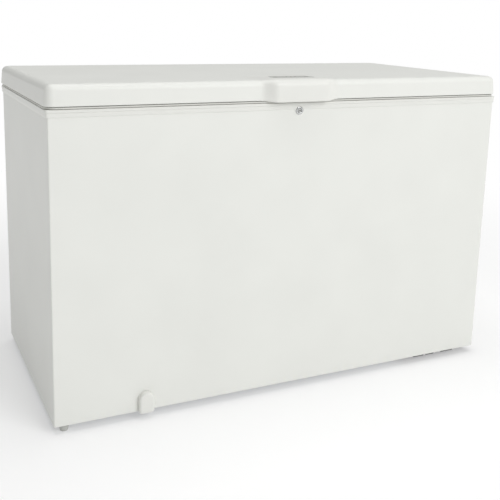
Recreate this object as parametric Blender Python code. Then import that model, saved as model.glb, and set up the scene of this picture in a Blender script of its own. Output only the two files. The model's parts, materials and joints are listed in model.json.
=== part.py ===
"""Chest freezer: a foamed steel cabinet with a hinged, foamed lid.

Units are metres, +Z is up, the front faces -Y and the origin is the middle of
the footprint, on the floor.  Every size that can be set by itself is named
once below; what fits, seats or lines up is worked out from those values.
"""
import math

import bmesh
import bpy
from mathutils import Vector

# ---------------------------------------------------------------- driving sizes
CABINET_WIDTH = 1.392          # outside of the painted side panels
CABINET_DEPTH = 0.660          # outside of the front and rear panels
RIM_TOP = 0.8525               # top of the plastic collar that the lid seals on
LID_TOP = 0.914                # top of the closed lid
BASE_HEIGHT = 0.022            # underside of the cabinet above the floor
WALL = 0.092                   # cabinet wall: sheet, foam and liner together
FLOOR_WALL = 0.065             # cabinet floor: sheet, foam and liner together
SHEET = 0.0008                 # steel sheet and liner thickness
GAP = 0.0003                   # gap kept between touching pieces
CABINET_EDGE_RADIUS = 0.004    # folded front corners of the wrapper
LINER_RADIUS = 0.028           # upright corners of the storage cavity

COMPARTMENT_WIDTH = 0.281      # compressor compartment, from the right side
COMPARTMENT_HEIGHT = 0.300     # compressor compartment, from the base
STEP_WALL = 0.050              # foam and liner over the compartment

RIM_HEIGHT = 0.011             # outer lip of the collar
RIM_PROUD_SIDE = 0.005         # collar beyond the side panels
RIM_PROUD_FRONT = 0.003        # collar beyond the front and rear panels
RIM_PLATE = 0.003              # collar wall
RIM_CORNER = 0.007             # collar corner in plan
LEDGE_WIDTH = 0.022            # ledge the baskets hang on
LEDGE_DROP = 0.0165            # ledge below the collar's top

LID_GAP = 0.0075               # collar top to the lid's lower edge
LID_PROUD_SIDE = 0.0065        # lid's lower edge beyond the side panels
LID_PROUD_FRONT = 0.006        # lid's lower edge beyond the front panel
LID_PROUD_REAR = 0.012         # lid's lower edge beyond the rear panel
LID_SHEET = 0.0012             # lid skin
LID_DRAFT = 0.003              # how far the lid's sides lean in
LID_EDGE_RADIUS = 0.018        # rounding round the lid's top edge
LID_CORNER = 0.024             # lid corner in plan
LID_CORNER_LEAST = 0.004       # what its rounding leaves of that corner on top
LID_PLUG_DROP = 0.014          # how far the lid's inner panel reaches down
LID_PLUG_CLEARANCE = 0.022     # inner panel's raised middle to the liner
LID_PLUG_SLOPE = 0.008         # how far its sides lean in
GASKET_WIDTH = 0.020
GASKET_INSET = 0.0055          # gasket behind the cabinet's outside
GASKET_CLEARANCE = 0.0005
GASKET_CORNER = 0.020
GASKET_WAIST = 0.002           # how far the seal's side dips in

HINGE_X = 0.42                 # middle of each hinge from the centre plane
HINGE_WIDTH = 0.048            # inside width of the hinge bracket
HINGE_PIN_RADIUS = 0.003
HINGE_KNUCKLE_RADIUS = 0.0062
HINGE_AXIS_REAR = 0.0115       # pin behind the rear panel
HINGE_AXIS_BELOW = 0.0045      # pin below the collar's top
HINGE_PLATE = 0.002
HINGE_BRACKET_HEIGHT = 0.092
HINGE_LEAF_HEIGHT = 0.042
HINGE_EAR_ROUND = 0.004        # ear above the pin's middle
HINGE_PIN_END = 0.0012         # pin beyond each ear
HINGE_COVER_SHEET = 0.0016
HINGE_COVER_BELOW = 0.004      # cover's top below the knuckle
SPRING_RADIUS = 0.0050
SPRING_WIRE_RADIUS = 0.0011
SPRING_TURNS = 6
SPRING_END_ROOM = 0.0065
RUNNING_CLEARANCE = 0.0003     # pin, cylinder and button in their holes

HANDLE_WIDTH = 0.240
HANDLE_PROUD = 0.016           # handle beyond the lid's front
HANDLE_WALL = 0.0032
HANDLE_EDGE = 0.003            # chamfer along the grip's lower front edge
HANDLE_LEAN = 0.002            # how far the grip's front leans back
HANDLE_HANG = 0.0050           # handle below the lid's lower edge
HANDLE_TOP_REACH = 0.120       # moulding back over the lid's top
HANDLE_PAD = 0.0040            # moulding above the lid's top
HANDLE_END = 0.017
FINGER_HEIGHT = 0.034
STRIP_WIDTH = 0.138            # grey control strip
STRIP_DEPTH = 0.052
STRIP_FRONT = 0.036            # strip behind the lid's front edge
STRIP_THICKNESS = 0.0016
BUTTON_RADIUS = 0.007
BUTTON_X = 0.050               # buttons from the middle of the strip
BUTTON_HEIGHT = 0.0028
BUTTON_PROUD = 0.0002
LENS_RADIUS = 0.0022
LENS_PITCH = 0.014
LENS_PROUD = 0.0003

LOCK_BELOW = 0.0225            # lock below the collar's top
LOCK_RADIUS = 0.0062
LOCK_RING_RADIUS = 0.0112
LOCK_PROUD = 0.0040
LOCK_LENGTH = 0.034
LOCK_RING_CHAMFER = 0.0012
LOCK_RECESS = 0.0004           # cylinder's face behind the ring's
KEYWAY_WIDTH = 0.0016
KEYWAY_HEIGHT = 0.007
KEYWAY_DEPTH = 0.0026
CAM_LENGTH = 0.017
CAM_WIDTH = 0.008
CAM_THICKNESS = 0.003
STRIKER_CLEARANCE = 0.0040     # cam to the striker all round
STRIKER_FLANGE = 0.010         # striker's foot under the lid
STRIKER_SHEET = 0.002

DRAIN_X = -0.446               # drain from the centre plane
DRAIN_BEHIND = 0.075           # floor drain behind the liner's front wall
DRAIN_HEIGHT = 0.0225          # front outlet above the base
DRAIN_BORE = 0.0090
DRAIN_TUBE_WALL = 0.0018
DRAIN_BEND = 0.014
DRAIN_SPOUT = 0.003            # tube's end beyond the front panel
PLUG_FLANGE_RADIUS = 0.017
PLUG_FLANGE = 0.004
PLUG_STEM_LENGTH = 0.014
PLUG_STEM_TAPER = 0.0009
PLUG_GRIP_RADIUS = 0.007
PLUG_GRIP_WAIST = 0.0056
PLUG_GRIP_HEIGHT = 0.014
DRAIN_COVER_WIDTH = 0.043
DRAIN_COVER_HEIGHT = 0.060
DRAIN_COVER_PROUD = 0.016
DRAIN_COVER_BELOW = 0.004      # cover below the panel's lower edge
DRAIN_COVER_WALL = 0.0022
DRAIN_COVER_FOOT = 0.0075      # rounding of the cover's two lower corners
DRAIN_COVER_EDGE = 0.006       # rounding round the cover's front face

FOOT_HEIGHT_GAP = 0.0003       # foot's top below the base
FOOT_TOP_RADIUS = 0.0145
FOOT_BOTTOM_RADIUS = 0.0105
FOOT_BAND = 0.0043             # foot's upright upper part
FOOT_INSET_X = 0.030
FOOT_INSET_FRONT = 0.021
FOOT_INSET_REAR = 0.030
RIGHT_FRONT_FOOT_INSET = 0.060 # the compartment tray's front foot sits further back

TRAY_SHEET = 0.0015
SKID_LEFT = 0.232              # compartment skid from the cabinet's right side, far end
SKID_LENGTH = 0.165
SKID_FLOOR_GAP = 0.0065
SKID_DEPTH = 0.016
SKID_INSET = 0.012

COMPRESSOR_RADIUS = 0.082
COMPRESSOR_HEIGHT = 0.175
COMPRESSOR_SHAPE = (           # shares of the radius and of the height, up the shell
    (0.55, 0.0), (0.80, 0.03), (0.96, 0.12), (1.0, 0.28), (1.0, 0.44), (1.035, 0.45),
    (1.035, 0.49), (1.0, 0.50), (0.97, 0.72), (0.86, 0.88), (0.62, 0.97), (0.30, 1.0))
COMPRESSOR_LIFT = 0.024        # bracket's underside above the tray
TERMINAL_WIDTH = 0.069
TERMINAL_DEPTH = 0.042
TERMINAL_HEIGHT = 0.084
TERMINAL_ABOVE = 0.0525        # terminal cover above the bracket
TERMINAL_OFF = 0.0036          # terminal cover in front of the shell
TERMINAL_ROUNDING = 0.004
BRACKET_SHEET = 0.003
BRACKET_LENGTH = 0.205
BRACKET_WIDTH = 0.120
BRACKET_CORNER = 0.0144
MOUNT_RADIUS = 0.0125
MOUNT_SHAPE = ((1.0, 0.0), (1.0, 0.3), (0.75, 0.5), (1.0, 0.7), (1.0, 1.0))
MOUNT_INSET = 0.018
PIPE_RADIUS = 0.004
THIN_PIPE_RADIUS = 0.0026
PIPE_BEND = 0.020
THIN_PIPE_BEND = 0.010
PIPE_OVER = 0.030              # suction pipe's level run above the compressor
PIPE_END_GAP = 0.0012          # pipe's end to the compressor's shell
DISCHARGE_RISE = 0.105         # discharge pipe above the bracket
DISCHARGE_OFF = 0.024          # discharge pipe beside the shell
DISCHARGE_FROM_REAR = 0.030
DRIER_IN = 0.030               # drier inside the compartment's left wall
DRIER_Y = -0.120
DRIER_ABOVE = 0.040            # drier above the bracket
DRIER_SHAPE = ((0.3, 0.0), (0.4, 0.12), (1.0, 0.22), (1.0, 0.78), (0.4, 0.88), (0.3, 1.0))
DRIER_RADIUS = 0.009
DRIER_LENGTH = 0.100

EVAPORATOR_TURNS = 7
EVAPORATOR_PITCH = 0.052
EVAPORATOR_TOP_BELOW = 0.075   # top turn below the collar's top
COIL_ROOM = 0.0015             # room round a coil in its foam recess
CONDENSER_RUNS = 7
CONDENSER_PITCH = 0.085
CONDENSER_INSET = 0.070
CONDENSER_LOW = 0.115          # lowest run above the base

GRILLE_DEPTH = 0.300
GRILLE_HEIGHT = 0.170
GRILLE_ABOVE_BASE = 0.060
GRILLE_BORDER = 0.014
GRILLE_THICKNESS = 0.003
GRILLE_SLOTS = 9
GRILLE_BAR = 0.007

BASKET_LENGTH = 0.240
BASKET_HEIGHT = 0.200
BASKET_WALL = 0.0035
BASKET_TAPER = 0.008
BASKET_SIDE_CLEARANCE = 0.006
BASKET_HOOK = 0.014            # hook's reach over the ledge
BASKET_REST = 0.0005
BASKET_FROM_END = 0.024        # basket from the liner's end wall
BASKET_CORNER = 0.025

GLAND_RADIUS = 0.011
GLAND_BORE = 0.0045
GLAND_NECK = 0.0077            # gland's radius in the rear panel
GLAND_TIP = 0.00825
GLAND_FLANGE = 0.003
GLAND_INSIDE = 0.006           # gland's reach inside the rear panel
GLAND_LENGTH = 0.012
GLAND_HEIGHT = 0.050           # above the base
GLAND_FROM_SIDE = 0.090
SPACER_X = 0.240
SPACER_HEIGHT_ABOVE = 0.560
SPACER_SIZE = 0.040
SPACER_PROUD = 0.022
SPACER_ROUNDING = 0.003

# ---------------------------------------------------------------- worked-out places
HALF_X = CABINET_WIDTH / 2
HALF_Y = CABINET_DEPTH / 2
INNER_X = HALF_X - WALL
INNER_Y = HALF_Y - WALL
LINER_FLOOR = BASE_HEIGHT + FLOOR_WALL
FOAM_X = HALF_X - SHEET - GAP
FOAM_Y = HALF_Y - SHEET - GAP
FOAM_BOTTOM = BASE_HEIGHT + SHEET + GAP
RIM_UNDER = RIM_TOP - RIM_PLATE
FOAM_TOP = RIM_UNDER - GAP
LEDGE_TOP = RIM_TOP - LEDGE_DROP
LEDGE_UNDER = LEDGE_TOP - RIM_PLATE
LINER_TOP = LEDGE_UNDER - GAP
COMPARTMENT_X = HALF_X - COMPARTMENT_WIDTH
COMPARTMENT_TOP = BASE_HEIGHT + COMPARTMENT_HEIGHT
STEP_X = COMPARTMENT_X - STEP_WALL
STEP_TOP = COMPARTMENT_TOP + STEP_WALL
LID_BOTTOM = RIM_TOP + LID_GAP
LID_X = HALF_X + LID_PROUD_SIDE
LID_FRONT = -HALF_Y - LID_PROUD_FRONT
LID_REAR = HALF_Y + LID_PROUD_REAR
LID_MIDDLE_Y = (LID_FRONT + LID_REAR) / 2
LID_Y = (LID_REAR - LID_FRONT) / 2
LID_AXIS = Vector((0.0, HALF_Y + HINGE_AXIS_REAR, RIM_TOP - HINGE_AXIS_BELOW))
HANDLE_FRONT = LID_FRONT - HANDLE_PROUD
HANDLE_UNDER = LID_BOTTOM - HANDLE_HANG
PAD_UNDER = LID_TOP + GAP
PAD_TOP = LID_TOP + HANDLE_PAD
STRIP_Y = LID_FRONT + STRIP_FRONT + STRIP_DEPTH / 2
LOCK_Z = RIM_TOP - LOCK_BELOW
LOCK_AXIS = Vector((0.0, -HALF_Y, LOCK_Z))
CAM_FRONT = -HALF_Y - LOCK_PROUD + LOCK_LENGTH + GAP
CAM_REAR = CAM_FRONT + CAM_THICKNESS
DRAIN_Y = -INNER_Y + DRAIN_BEHIND
DRAIN_Z = BASE_HEIGHT + DRAIN_HEIGHT
DRAIN_RADIUS = DRAIN_BORE + DRAIN_TUBE_WALL
TRAY_TOP = BASE_HEIGHT + GAP + TRAY_SHEET
COMPRESSOR_X = (COMPARTMENT_X + HALF_X) / 2
COMPRESSOR_Y = 0.060
BRACKET_TOP = TRAY_TOP + COMPRESSOR_LIFT + BRACKET_SHEET
COIL_DEPTH = 2 * PIPE_RADIUS + COIL_ROOM
CONDENSER_DEPTH = 2 * THIN_PIPE_RADIUS + COIL_ROOM
ARC_STEPS = 4
CUT = 0.010                    # how far a cutter passes beyond what it cuts


# ---------------------------------------------------------------- materials
def linear(value):
    """One sRGB channel, 0 to 1, as a linear value."""
    if value <= 0.04045:
        return value / 12.92
    return ((value + 0.055) / 1.055) ** 2.4


def finish(name, colour, roughness, metallic=0.0):
    """A Principled material from an sRGB hex colour."""
    material = bpy.data.materials.new(name)
    material.use_nodes = True
    shader = material.node_tree.nodes["Principled BSDF"]
    red, green, blue = (linear(int(colour[i:i + 2], 16) / 255) for i in (0, 2, 4))
    shader.inputs["Base Color"].default_value = (red, green, blue, 1.0)
    shader.inputs["Roughness"].default_value = roughness
    shader.inputs["Metallic"].default_value = metallic
    return material


# ---------------------------------------------------------------- shape helpers
def rounded_rectangle(half_x, half_y, radius, z, middle=(0.0, 0.0)):
    """Points of a rounded rectangle at height z, anticlockwise from above."""
    points = []
    for quarter, (sign_x, sign_y) in enumerate(((1, 1), (-1, 1), (-1, -1), (1, -1))):
        centre_x = middle[0] + sign_x * (half_x - radius)
        centre_y = middle[1] + sign_y * (half_y - radius)
        for step in range(ARC_STEPS + 1):
            angle = (quarter + step / ARC_STEPS) * math.pi / 2
            x = centre_x + radius * math.cos(angle)
            y = centre_y + radius * math.sin(angle)
            points.append((x, y, z))
    return points


def circle(radius, z, steps, middle=(0.0, 0.0)):
    """Points of a circle at height z."""
    turn = 2 * math.pi / steps
    return [(middle[0] + radius * math.cos(i * turn), middle[1] + radius * math.sin(i * turn), z)
            for i in range(steps)]


def loft(loops, closed=False):
    """Join equal loops with quads; cap both ends, or join the last loop to the first."""
    mesh = bmesh.new()
    rings = [[mesh.verts.new(point) for point in loop] for loop in loops]
    pairs = list(zip(rings, rings[1:]))
    if closed:
        pairs.append((rings[-1], rings[0]))
    else:
        mesh.faces.new(list(reversed(rings[0])))
        mesh.faces.new(rings[-1])
    for lower, upper in pairs:
        for i in range(len(lower)):
            j = (i + 1) % len(lower)
            mesh.faces.new((lower[i], lower[j], upper[j], upper[i]))
    bmesh.ops.recalc_face_normals(mesh, faces=mesh.faces)
    return mesh


def block(low, high):
    """A box between two corners."""
    mesh = bmesh.new()
    bmesh.ops.create_cube(mesh, size=1.0)
    for vert in mesh.verts:
        for axis in range(3):
            middle = (low[axis] + high[axis]) / 2
            vert.co[axis] = middle + vert.co[axis] * (high[axis] - low[axis])
    return mesh


def prism(outline, axis, low, high):
    """An outline of two coordinates, drawn out along axis 0 (X), 1 (Y) or 2 (Z)."""
    def place(point, value):
        point = list(point)
        point.insert(axis, value)
        return tuple(point)
    return loft([[place(p, low) for p in outline], [place(p, high) for p in outline]])


def drum(radius, axis, low, high, middle, steps=20):
    """A round bar along an axis, centred on two coordinates."""
    outline = [(x, y) for x, y, _ in circle(radius, 0.0, steps, middle)]
    return prism(outline, axis, low, high)


def merge(meshes):
    """Put several closed bmeshes into one, as a cutter."""
    whole = bmesh.new()
    for mesh in meshes:
        data = bpy.data.meshes.new("joined")
        mesh.to_mesh(data)
        mesh.free()
        whole.from_mesh(data)
        bpy.data.meshes.remove(data)
    return whole


def add(name, mesh, material, pivot=(0.0, 0.0, 0.0), smooth=None):
    """Make the named object from a bmesh, with its origin at the pivot."""
    pivot = Vector(pivot)
    bmesh.ops.translate(mesh, verts=mesh.verts, vec=-pivot)
    bmesh.ops.recalc_face_normals(mesh, faces=mesh.faces)
    data = bpy.data.meshes.new(name)
    mesh.to_mesh(data)
    mesh.free()
    if material is not None:
        data.materials.append(material)
    if smooth is not None:
        data.shade_smooth()
        data.set_sharp_from_angle(angle=math.radians(smooth))
    item = bpy.data.objects.new(name, data)
    item.location = pivot
    bpy.context.scene.collection.objects.link(item)
    return item


def combine(item, mesh, operation="DIFFERENCE"):
    """Cut a shape out of an object, or join it on, with an exact Boolean."""
    tool = add(item.name + "_tool", mesh, None)
    tool.hide_render = True
    tool.display_type = "WIRE"
    modifier = item.modifiers.new(operation.lower(), "BOOLEAN")
    modifier.operation = operation
    modifier.solver = "EXACT"
    modifier.object = tool


def round_edges(item, width, segments=1, angle=40):
    """Round the sharp edges of an object."""
    modifier = item.modifiers.new("edges", "BEVEL")
    modifier.width = width
    modifier.segments = segments
    modifier.limit_method = "ANGLE"
    modifier.angle_limit = math.radians(angle)


def pipe(name, points, radius, material, resolution=1):
    """A round tube or wire along a list of points, with filled ends."""
    curve = bpy.data.curves.new(name, "CURVE")
    curve.dimensions = "3D"
    curve.bevel_depth = radius
    curve.bevel_resolution = resolution
    curve.use_fill_caps = True
    spline = curve.splines.new("POLY")
    spline.points.add(len(points) - 1)
    for target, point in zip(spline.points, points):
        target.co = (*point, 1.0)
    if material is not None:
        curve.materials.append(material)
    item = bpy.data.objects.new(name, curve)
    bpy.context.scene.collection.objects.link(item)
    return item


def pipe_mesh(points, radius, resolution=3):
    """The same tube as a bmesh."""
    item = pipe("route", points, radius, None, resolution)
    graph = bpy.context.evaluated_depsgraph_get()
    data = bpy.data.meshes.new_from_object(item.evaluated_get(graph))
    mesh = bmesh.new()
    mesh.from_mesh(data)
    bpy.data.meshes.remove(data)
    curve = item.data
    bpy.data.objects.remove(item)
    bpy.data.curves.remove(curve)
    return mesh


def bend(start, corner, end, radius, steps=4):
    """Points of a round bend of the given radius from start to end, about a square corner."""
    corner = Vector(corner)
    back = (Vector(start) - corner).normalized()
    ahead = (Vector(end) - corner).normalized()
    centre = corner + (back + ahead) * radius
    points = []
    for step in range(steps + 1):
        angle = step / steps * math.pi / 2
        points.append(centre - ahead * radius * math.cos(angle) - back * radius * math.sin(angle))
    return points


# ---------------------------------------------------------------- cabinet
def cavity(offset, top):
    """The storage space grown by offset: a rounded well with a step over the compressor."""
    low = LINER_FLOOR - offset
    radius = LINER_RADIUS + offset
    well = loft([rounded_rectangle(INNER_X + offset, INNER_Y + offset, radius, low),
                 rounded_rectangle(INNER_X + offset, INNER_Y + offset, radius, top)])
    item = add("cavity_tool", well, None)
    item.hide_render = True
    item.display_type = "WIRE"
    step = block((STEP_X + offset, -HALF_Y, 0.0), (HALF_X, HALF_Y, STEP_TOP - offset))
    combine(item, step)
    graph = bpy.context.evaluated_depsgraph_get()
    data = bpy.data.meshes.new_from_object(item.evaluated_get(graph))
    mesh = bmesh.new()
    mesh.from_mesh(data)
    bpy.data.meshes.remove(data)
    return mesh


def wrapper_outline(inset):
    """Plan of the folded front and sides, from rear left round the front to rear right."""
    radius = CABINET_EDGE_RADIUS - inset
    half_x = HALF_X - inset
    front = -HALF_Y + inset
    points = [(-half_x, HALF_Y)]
    for centre_x, start in ((-half_x + radius, math.pi), (half_x - radius, 1.5 * math.pi)):
        for step in range(ARC_STEPS + 1):
            angle = start + step / ARC_STEPS * math.pi / 2
            points.append((centre_x + radius * math.cos(angle), front + radius + radius * math.sin(angle)))
    points.append((half_x, HALF_Y))
    return points


def build_cabinet_wrapper(steel):
    outline = wrapper_outline(0.0) + list(reversed(wrapper_outline(SHEET)))
    item = add("cabinet_wrapper", prism(outline, 2, BASE_HEIGHT, FOAM_TOP), steel, smooth=30)
    lock_hole = drum(LOCK_RADIUS + RUNNING_CLEARANCE, 1, -HALF_Y - CUT, -HALF_Y + CUT, (0.0, LOCK_Z))
    drain_hole = drum(DRAIN_RADIUS + GAP, 1, -HALF_Y - CUT, -HALF_Y + CUT, (DRAIN_X, DRAIN_Z))
    low = BASE_HEIGHT + GRILLE_ABOVE_BASE + GRILLE_BORDER
    half_depth = GRILLE_DEPTH / 2 - GRILLE_BORDER
    high = low + GRILLE_HEIGHT - 2 * GRILLE_BORDER
    air_hole = block((HALF_X - CUT, -half_depth, low), (HALF_X + CUT, half_depth, high))
    combine(item, merge([lock_hole, drain_hole, air_hole]))


def front_corners():
    """Cutter that clears the wrapper's two folded front corners."""
    size = CABINET_EDGE_RADIUS - SHEET
    corners = []
    for sign in (-1, 1):
        ends = sorted((sign * (FOAM_X - size), sign * (FOAM_X + CUT)))
        corners.append(block((ends[0], -FOAM_Y - CUT, 0.0), (ends[1], -FOAM_Y + size, LID_TOP)))
    return merge(corners)


def build_rear_panel(steel):
    low = (-FOAM_X, HALF_Y - SHEET, BASE_HEIGHT)
    high = (FOAM_X, HALF_Y, FOAM_TOP)
    item = add("rear_panel", block(low, high), steel)
    place = (HALF_X - GLAND_FROM_SIDE, BASE_HEIGHT + GLAND_HEIGHT)
    combine(item, drum(GLAND_NECK + GAP, 1, HALF_Y - CUT, HALF_Y + CUT, place))


def build_base_panel(zinc):
    low = (-FOAM_X, -FOAM_Y, BASE_HEIGHT)
    high = (COMPARTMENT_X - GAP, FOAM_Y, BASE_HEIGHT + SHEET)
    item = add("base_panel", block(low, high), zinc)
    combine(item, front_corners())


def drain_route(start_z, end_y):
    """The drain's centre line: down from the floor, round a bend, out at the front."""
    start = (DRAIN_X, DRAIN_Y, start_z)
    corner = (DRAIN_X, DRAIN_Y, DRAIN_Z)
    end = (DRAIN_X, end_y, DRAIN_Z)
    return [start, *bend(start, corner, end, DRAIN_BEND), end]


def build_cabinet_foam(foam):
    notch_x = COMPARTMENT_X - SHEET - GAP
    notch_z = COMPARTMENT_TOP + SHEET + GAP
    outline = [(-FOAM_X, FOAM_BOTTOM), (notch_x, FOAM_BOTTOM), (notch_x, notch_z),
               (FOAM_X, notch_z), (FOAM_X, FOAM_TOP), (-FOAM_X, FOAM_TOP)]
    item = add("cabinet_foam", prism(outline, 1, -FOAM_Y, FOAM_Y), foam)
    combine(item, front_corners())
    combine(item, cavity(SHEET + GAP, RIM_TOP + CUT))
    ledge = LEDGE_WIDTH + RIM_PLATE + GAP
    radius = LINER_RADIUS + ledge
    rebate = loft([rounded_rectangle(INNER_X + ledge, INNER_Y + ledge, radius, LINER_TOP - GAP),
                   rounded_rectangle(INNER_X + ledge, INNER_Y + ledge, radius, RIM_TOP + CUT)])
    combine(item, rebate)
    offset = SHEET + GAP + COIL_DEPTH
    turns = (EVAPORATOR_TURNS - 1) * EVAPORATOR_PITCH
    coil_top = RIM_TOP - EVAPORATOR_TOP_BELOW + COIL_DEPTH
    coil_low = RIM_TOP - EVAPORATOR_TOP_BELOW - turns - COIL_DEPTH
    radius = LINER_RADIUS + offset
    coil_room = loft([rounded_rectangle(INNER_X + offset, INNER_Y + offset, radius, coil_low),
                      rounded_rectangle(INNER_X + offset, INNER_Y + offset, radius, coil_top)])
    combine(item, coil_room)
    low = BASE_HEIGHT + CONDENSER_LOW
    half = HALF_X - CONDENSER_INSET + PIPE_RADIUS + CONDENSER_PITCH / 2
    rear = FOAM_Y - CONDENSER_DEPTH
    top = low + (CONDENSER_RUNS - 1) * CONDENSER_PITCH + PIPE_RADIUS
    combine(item, block((-half, rear, low - PIPE_RADIUS), (HALF_X - CONDENSER_INSET, FOAM_Y + CUT, top)))
    side = STRIKER_CLEARANCE + CAM_LENGTH + CAM_WIDTH
    pocket_low = LOCK_Z - CAM_WIDTH / 2 - 3 * STRIKER_CLEARANCE - GAP
    combine(item, block((-side, -FOAM_Y - CUT, pocket_low),
                        (side + CAM_WIDTH, CAM_REAR + 2 * STRIKER_CLEARANCE, RIM_TOP)))
    combine(item, pipe_mesh(drain_route(LINER_FLOOR, -HALF_Y - CUT), DRAIN_RADIUS + GAP))
    pipe_hole = drum(PIPE_RADIUS + GAP, 2, 0.0, coil_low + CUT, suction_place())
    combine(item, pipe_hole)


def build_inner_liner(aluminium):
    item = add("inner_liner", cavity(SHEET, LINER_TOP), aluminium, smooth=40)
    combine(item, cavity(0.0, LINER_TOP + CUT))
    combine(item, drum(DRAIN_RADIUS + GAP, 2, LINER_FLOOR - CUT, LINER_FLOOR + CUT, (DRAIN_X, DRAIN_Y)))


def build_rim_collar(plastic):
    outer_x = HALF_X + RIM_PROUD_SIDE
    outer_y = HALF_Y + RIM_PROUD_FRONT
    chamfer = RIM_PLATE / 2
    step = LEDGE_WIDTH
    wall = LEDGE_WIDTH + RIM_PLATE
    loops = [
        (outer_x, outer_y, RIM_CORNER, RIM_TOP - RIM_HEIGHT),
        (outer_x, outer_y, RIM_CORNER, RIM_TOP - chamfer),
        (outer_x - chamfer, outer_y - chamfer, RIM_CORNER - chamfer, RIM_TOP),
        (INNER_X + step, INNER_Y + step, LINER_RADIUS + step, RIM_TOP),
        (INNER_X + step, INNER_Y + step, LINER_RADIUS + step, LEDGE_TOP),
        (INNER_X, INNER_Y, LINER_RADIUS, LEDGE_TOP),
        (INNER_X, INNER_Y, LINER_RADIUS, LEDGE_UNDER),
        (INNER_X + wall, INNER_Y + wall, LINER_RADIUS + wall, LEDGE_UNDER),
        (INNER_X + wall, INNER_Y + wall, LINER_RADIUS + wall, RIM_UNDER),
        (HALF_X + GAP, HALF_Y + GAP, GAP, RIM_UNDER),
        (HALF_X + GAP, HALF_Y + GAP, GAP, RIM_TOP - RIM_HEIGHT),
    ]
    item = add("rim_collar", loft([rounded_rectangle(*loop) for loop in loops], closed=True), plastic)
    shank = CAM_LENGTH + STRIKER_CLEARANCE
    slot = block((CAM_WIDTH / 2 + STRIKER_CLEARANCE / 2, CAM_FRONT - STRIKER_CLEARANCE, RIM_UNDER - CUT / 2),
                 (shank + CAM_THICKNESS + STRIKER_CLEARANCE, CAM_REAR + STRIKER_CLEARANCE, RIM_TOP + CUT))
    combine(item, slot)


# ---------------------------------------------------------------- refrigeration
def suction_place():
    """Plan position of the pipe that drops from the evaporator to the compressor."""
    return (COMPRESSOR_X, INNER_Y + SHEET + GAP + PIPE_RADIUS + COIL_ROOM / 2)


def build_evaporator_coil(copper):
    offset = SHEET + GAP + PIPE_RADIUS + COIL_ROOM / 2
    half_x = INNER_X + offset
    half_y = INNER_Y + offset
    top = RIM_TOP - EVAPORATOR_TOP_BELOW
    lap = rounded_rectangle(half_x, half_y, LINER_RADIUS + offset, 0.0)
    points = []
    for turn in range(EVAPORATOR_TURNS - 1):
        for index, (x, y, _) in enumerate(lap):
            z = top - (turn + index / len(lap)) * EVAPORATOR_PITCH
            points.append((x, y, z))
    pipe("evaporator_coil", points, PIPE_RADIUS, copper)


def build_condenser_coil(steel):
    right = HALF_X - CONDENSER_INSET - CONDENSER_PITCH
    left = -right
    y = FOAM_Y - CONDENSER_DEPTH / 2
    low = BASE_HEIGHT + CONDENSER_LOW
    points = []
    for run in range(CONDENSER_RUNS):
        z = low + run * CONDENSER_PITCH
        start, end = (left, right) if run % 2 == 0 else (right, left)
        points.append((start, y, z))
        points.append((end, y, z))
        if run == CONDENSER_RUNS - 1:
            break
        side = 1 if end > 0 else -1
        for step in range(1, 4):
            angle = -math.pi / 2 + step / 4 * math.pi
            half = CONDENSER_PITCH / 2
            points.append((end + side * half * math.cos(angle), y, z + half + half * math.sin(angle)))
    pipe("condenser_coil", points, THIN_PIPE_RADIUS, steel)


def build_compartment_panel(zinc):
    top = COMPARTMENT_TOP
    outline = [(COMPARTMENT_X, FOAM_BOTTOM), (COMPARTMENT_X, top), (FOAM_X, top), (FOAM_X, top + SHEET),
               (COMPARTMENT_X - SHEET, top + SHEET), (COMPARTMENT_X - SHEET, FOAM_BOTTOM)]
    item = add("compartment_panel", prism(outline, 1, -FOAM_Y, FOAM_Y - 2 * CONDENSER_DEPTH), zinc)
    combine(item, drum(PIPE_RADIUS + GAP, 2, top - CUT, top + CUT, suction_place()))
    combine(item, front_corners())


def build_compressor_tray(dark_steel):
    low_z = BASE_HEIGHT + GAP
    plate = block((COMPARTMENT_X + GAP, -FOAM_Y, low_z), (FOAM_X, FOAM_Y, TRAY_TOP))
    item = add("compressor_tray", plate, dark_steel)
    left = HALF_X - SKID_LEFT
    front = -HALF_Y + SKID_INSET
    combine(item, front_corners())
    far = (left + SKID_LENGTH, front + SKID_DEPTH, TRAY_TOP - SHEET / 2)
    skid = block((left, front, SKID_FLOOR_GAP), far)
    combine(item, skid, "UNION")


def build_compressor(black):
    base = BRACKET_TOP + GAP
    height = COMPRESSOR_HEIGHT
    middle = (COMPRESSOR_X, COMPRESSOR_Y)
    loops = [circle(COMPRESSOR_RADIUS * share, base + height * rise, 24, middle)
             for share, rise in COMPRESSOR_SHAPE]
    add("compressor", loft(loops), black, smooth=35)


def mount_places():
    """Plan positions of the compressor's four rubber mounts."""
    reach_x = BRACKET_WIDTH / 2 + MOUNT_INSET - MOUNT_RADIUS / 2
    reach_y = BRACKET_LENGTH / 2 - MOUNT_INSET
    return [(COMPRESSOR_X + sx * reach_x, COMPRESSOR_Y + sy * reach_y) for sx in (-1, 1) for sy in (-1, 1)]


def build_compressor_bracket(black):
    low = TRAY_TOP + COMPRESSOR_LIFT
    reach_x = BRACKET_WIDTH / 2 + 2 * MOUNT_INSET - MOUNT_RADIUS / 2
    middle = (COMPRESSOR_X, COMPRESSOR_Y)
    corners = rounded_rectangle(reach_x, BRACKET_LENGTH / 2, BRACKET_CORNER, 0.0, middle)
    outline = [(x, y) for x, y, _ in corners]
    add("compressor_bracket", prism(outline, 2, low, low + BRACKET_SHEET), black)


def build_compressor_mounts(rubber):
    low = TRAY_TOP + GAP
    high = TRAY_TOP + COMPRESSOR_LIFT - GAP
    for number, place in enumerate(mount_places(), start=1):
        loops = [circle(MOUNT_RADIUS * share, low + (high - low) * rise, 16, place)
                 for share, rise in MOUNT_SHAPE]
        add(f"compressor_mount_{number}", loft(loops), rubber, smooth=50)


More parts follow.
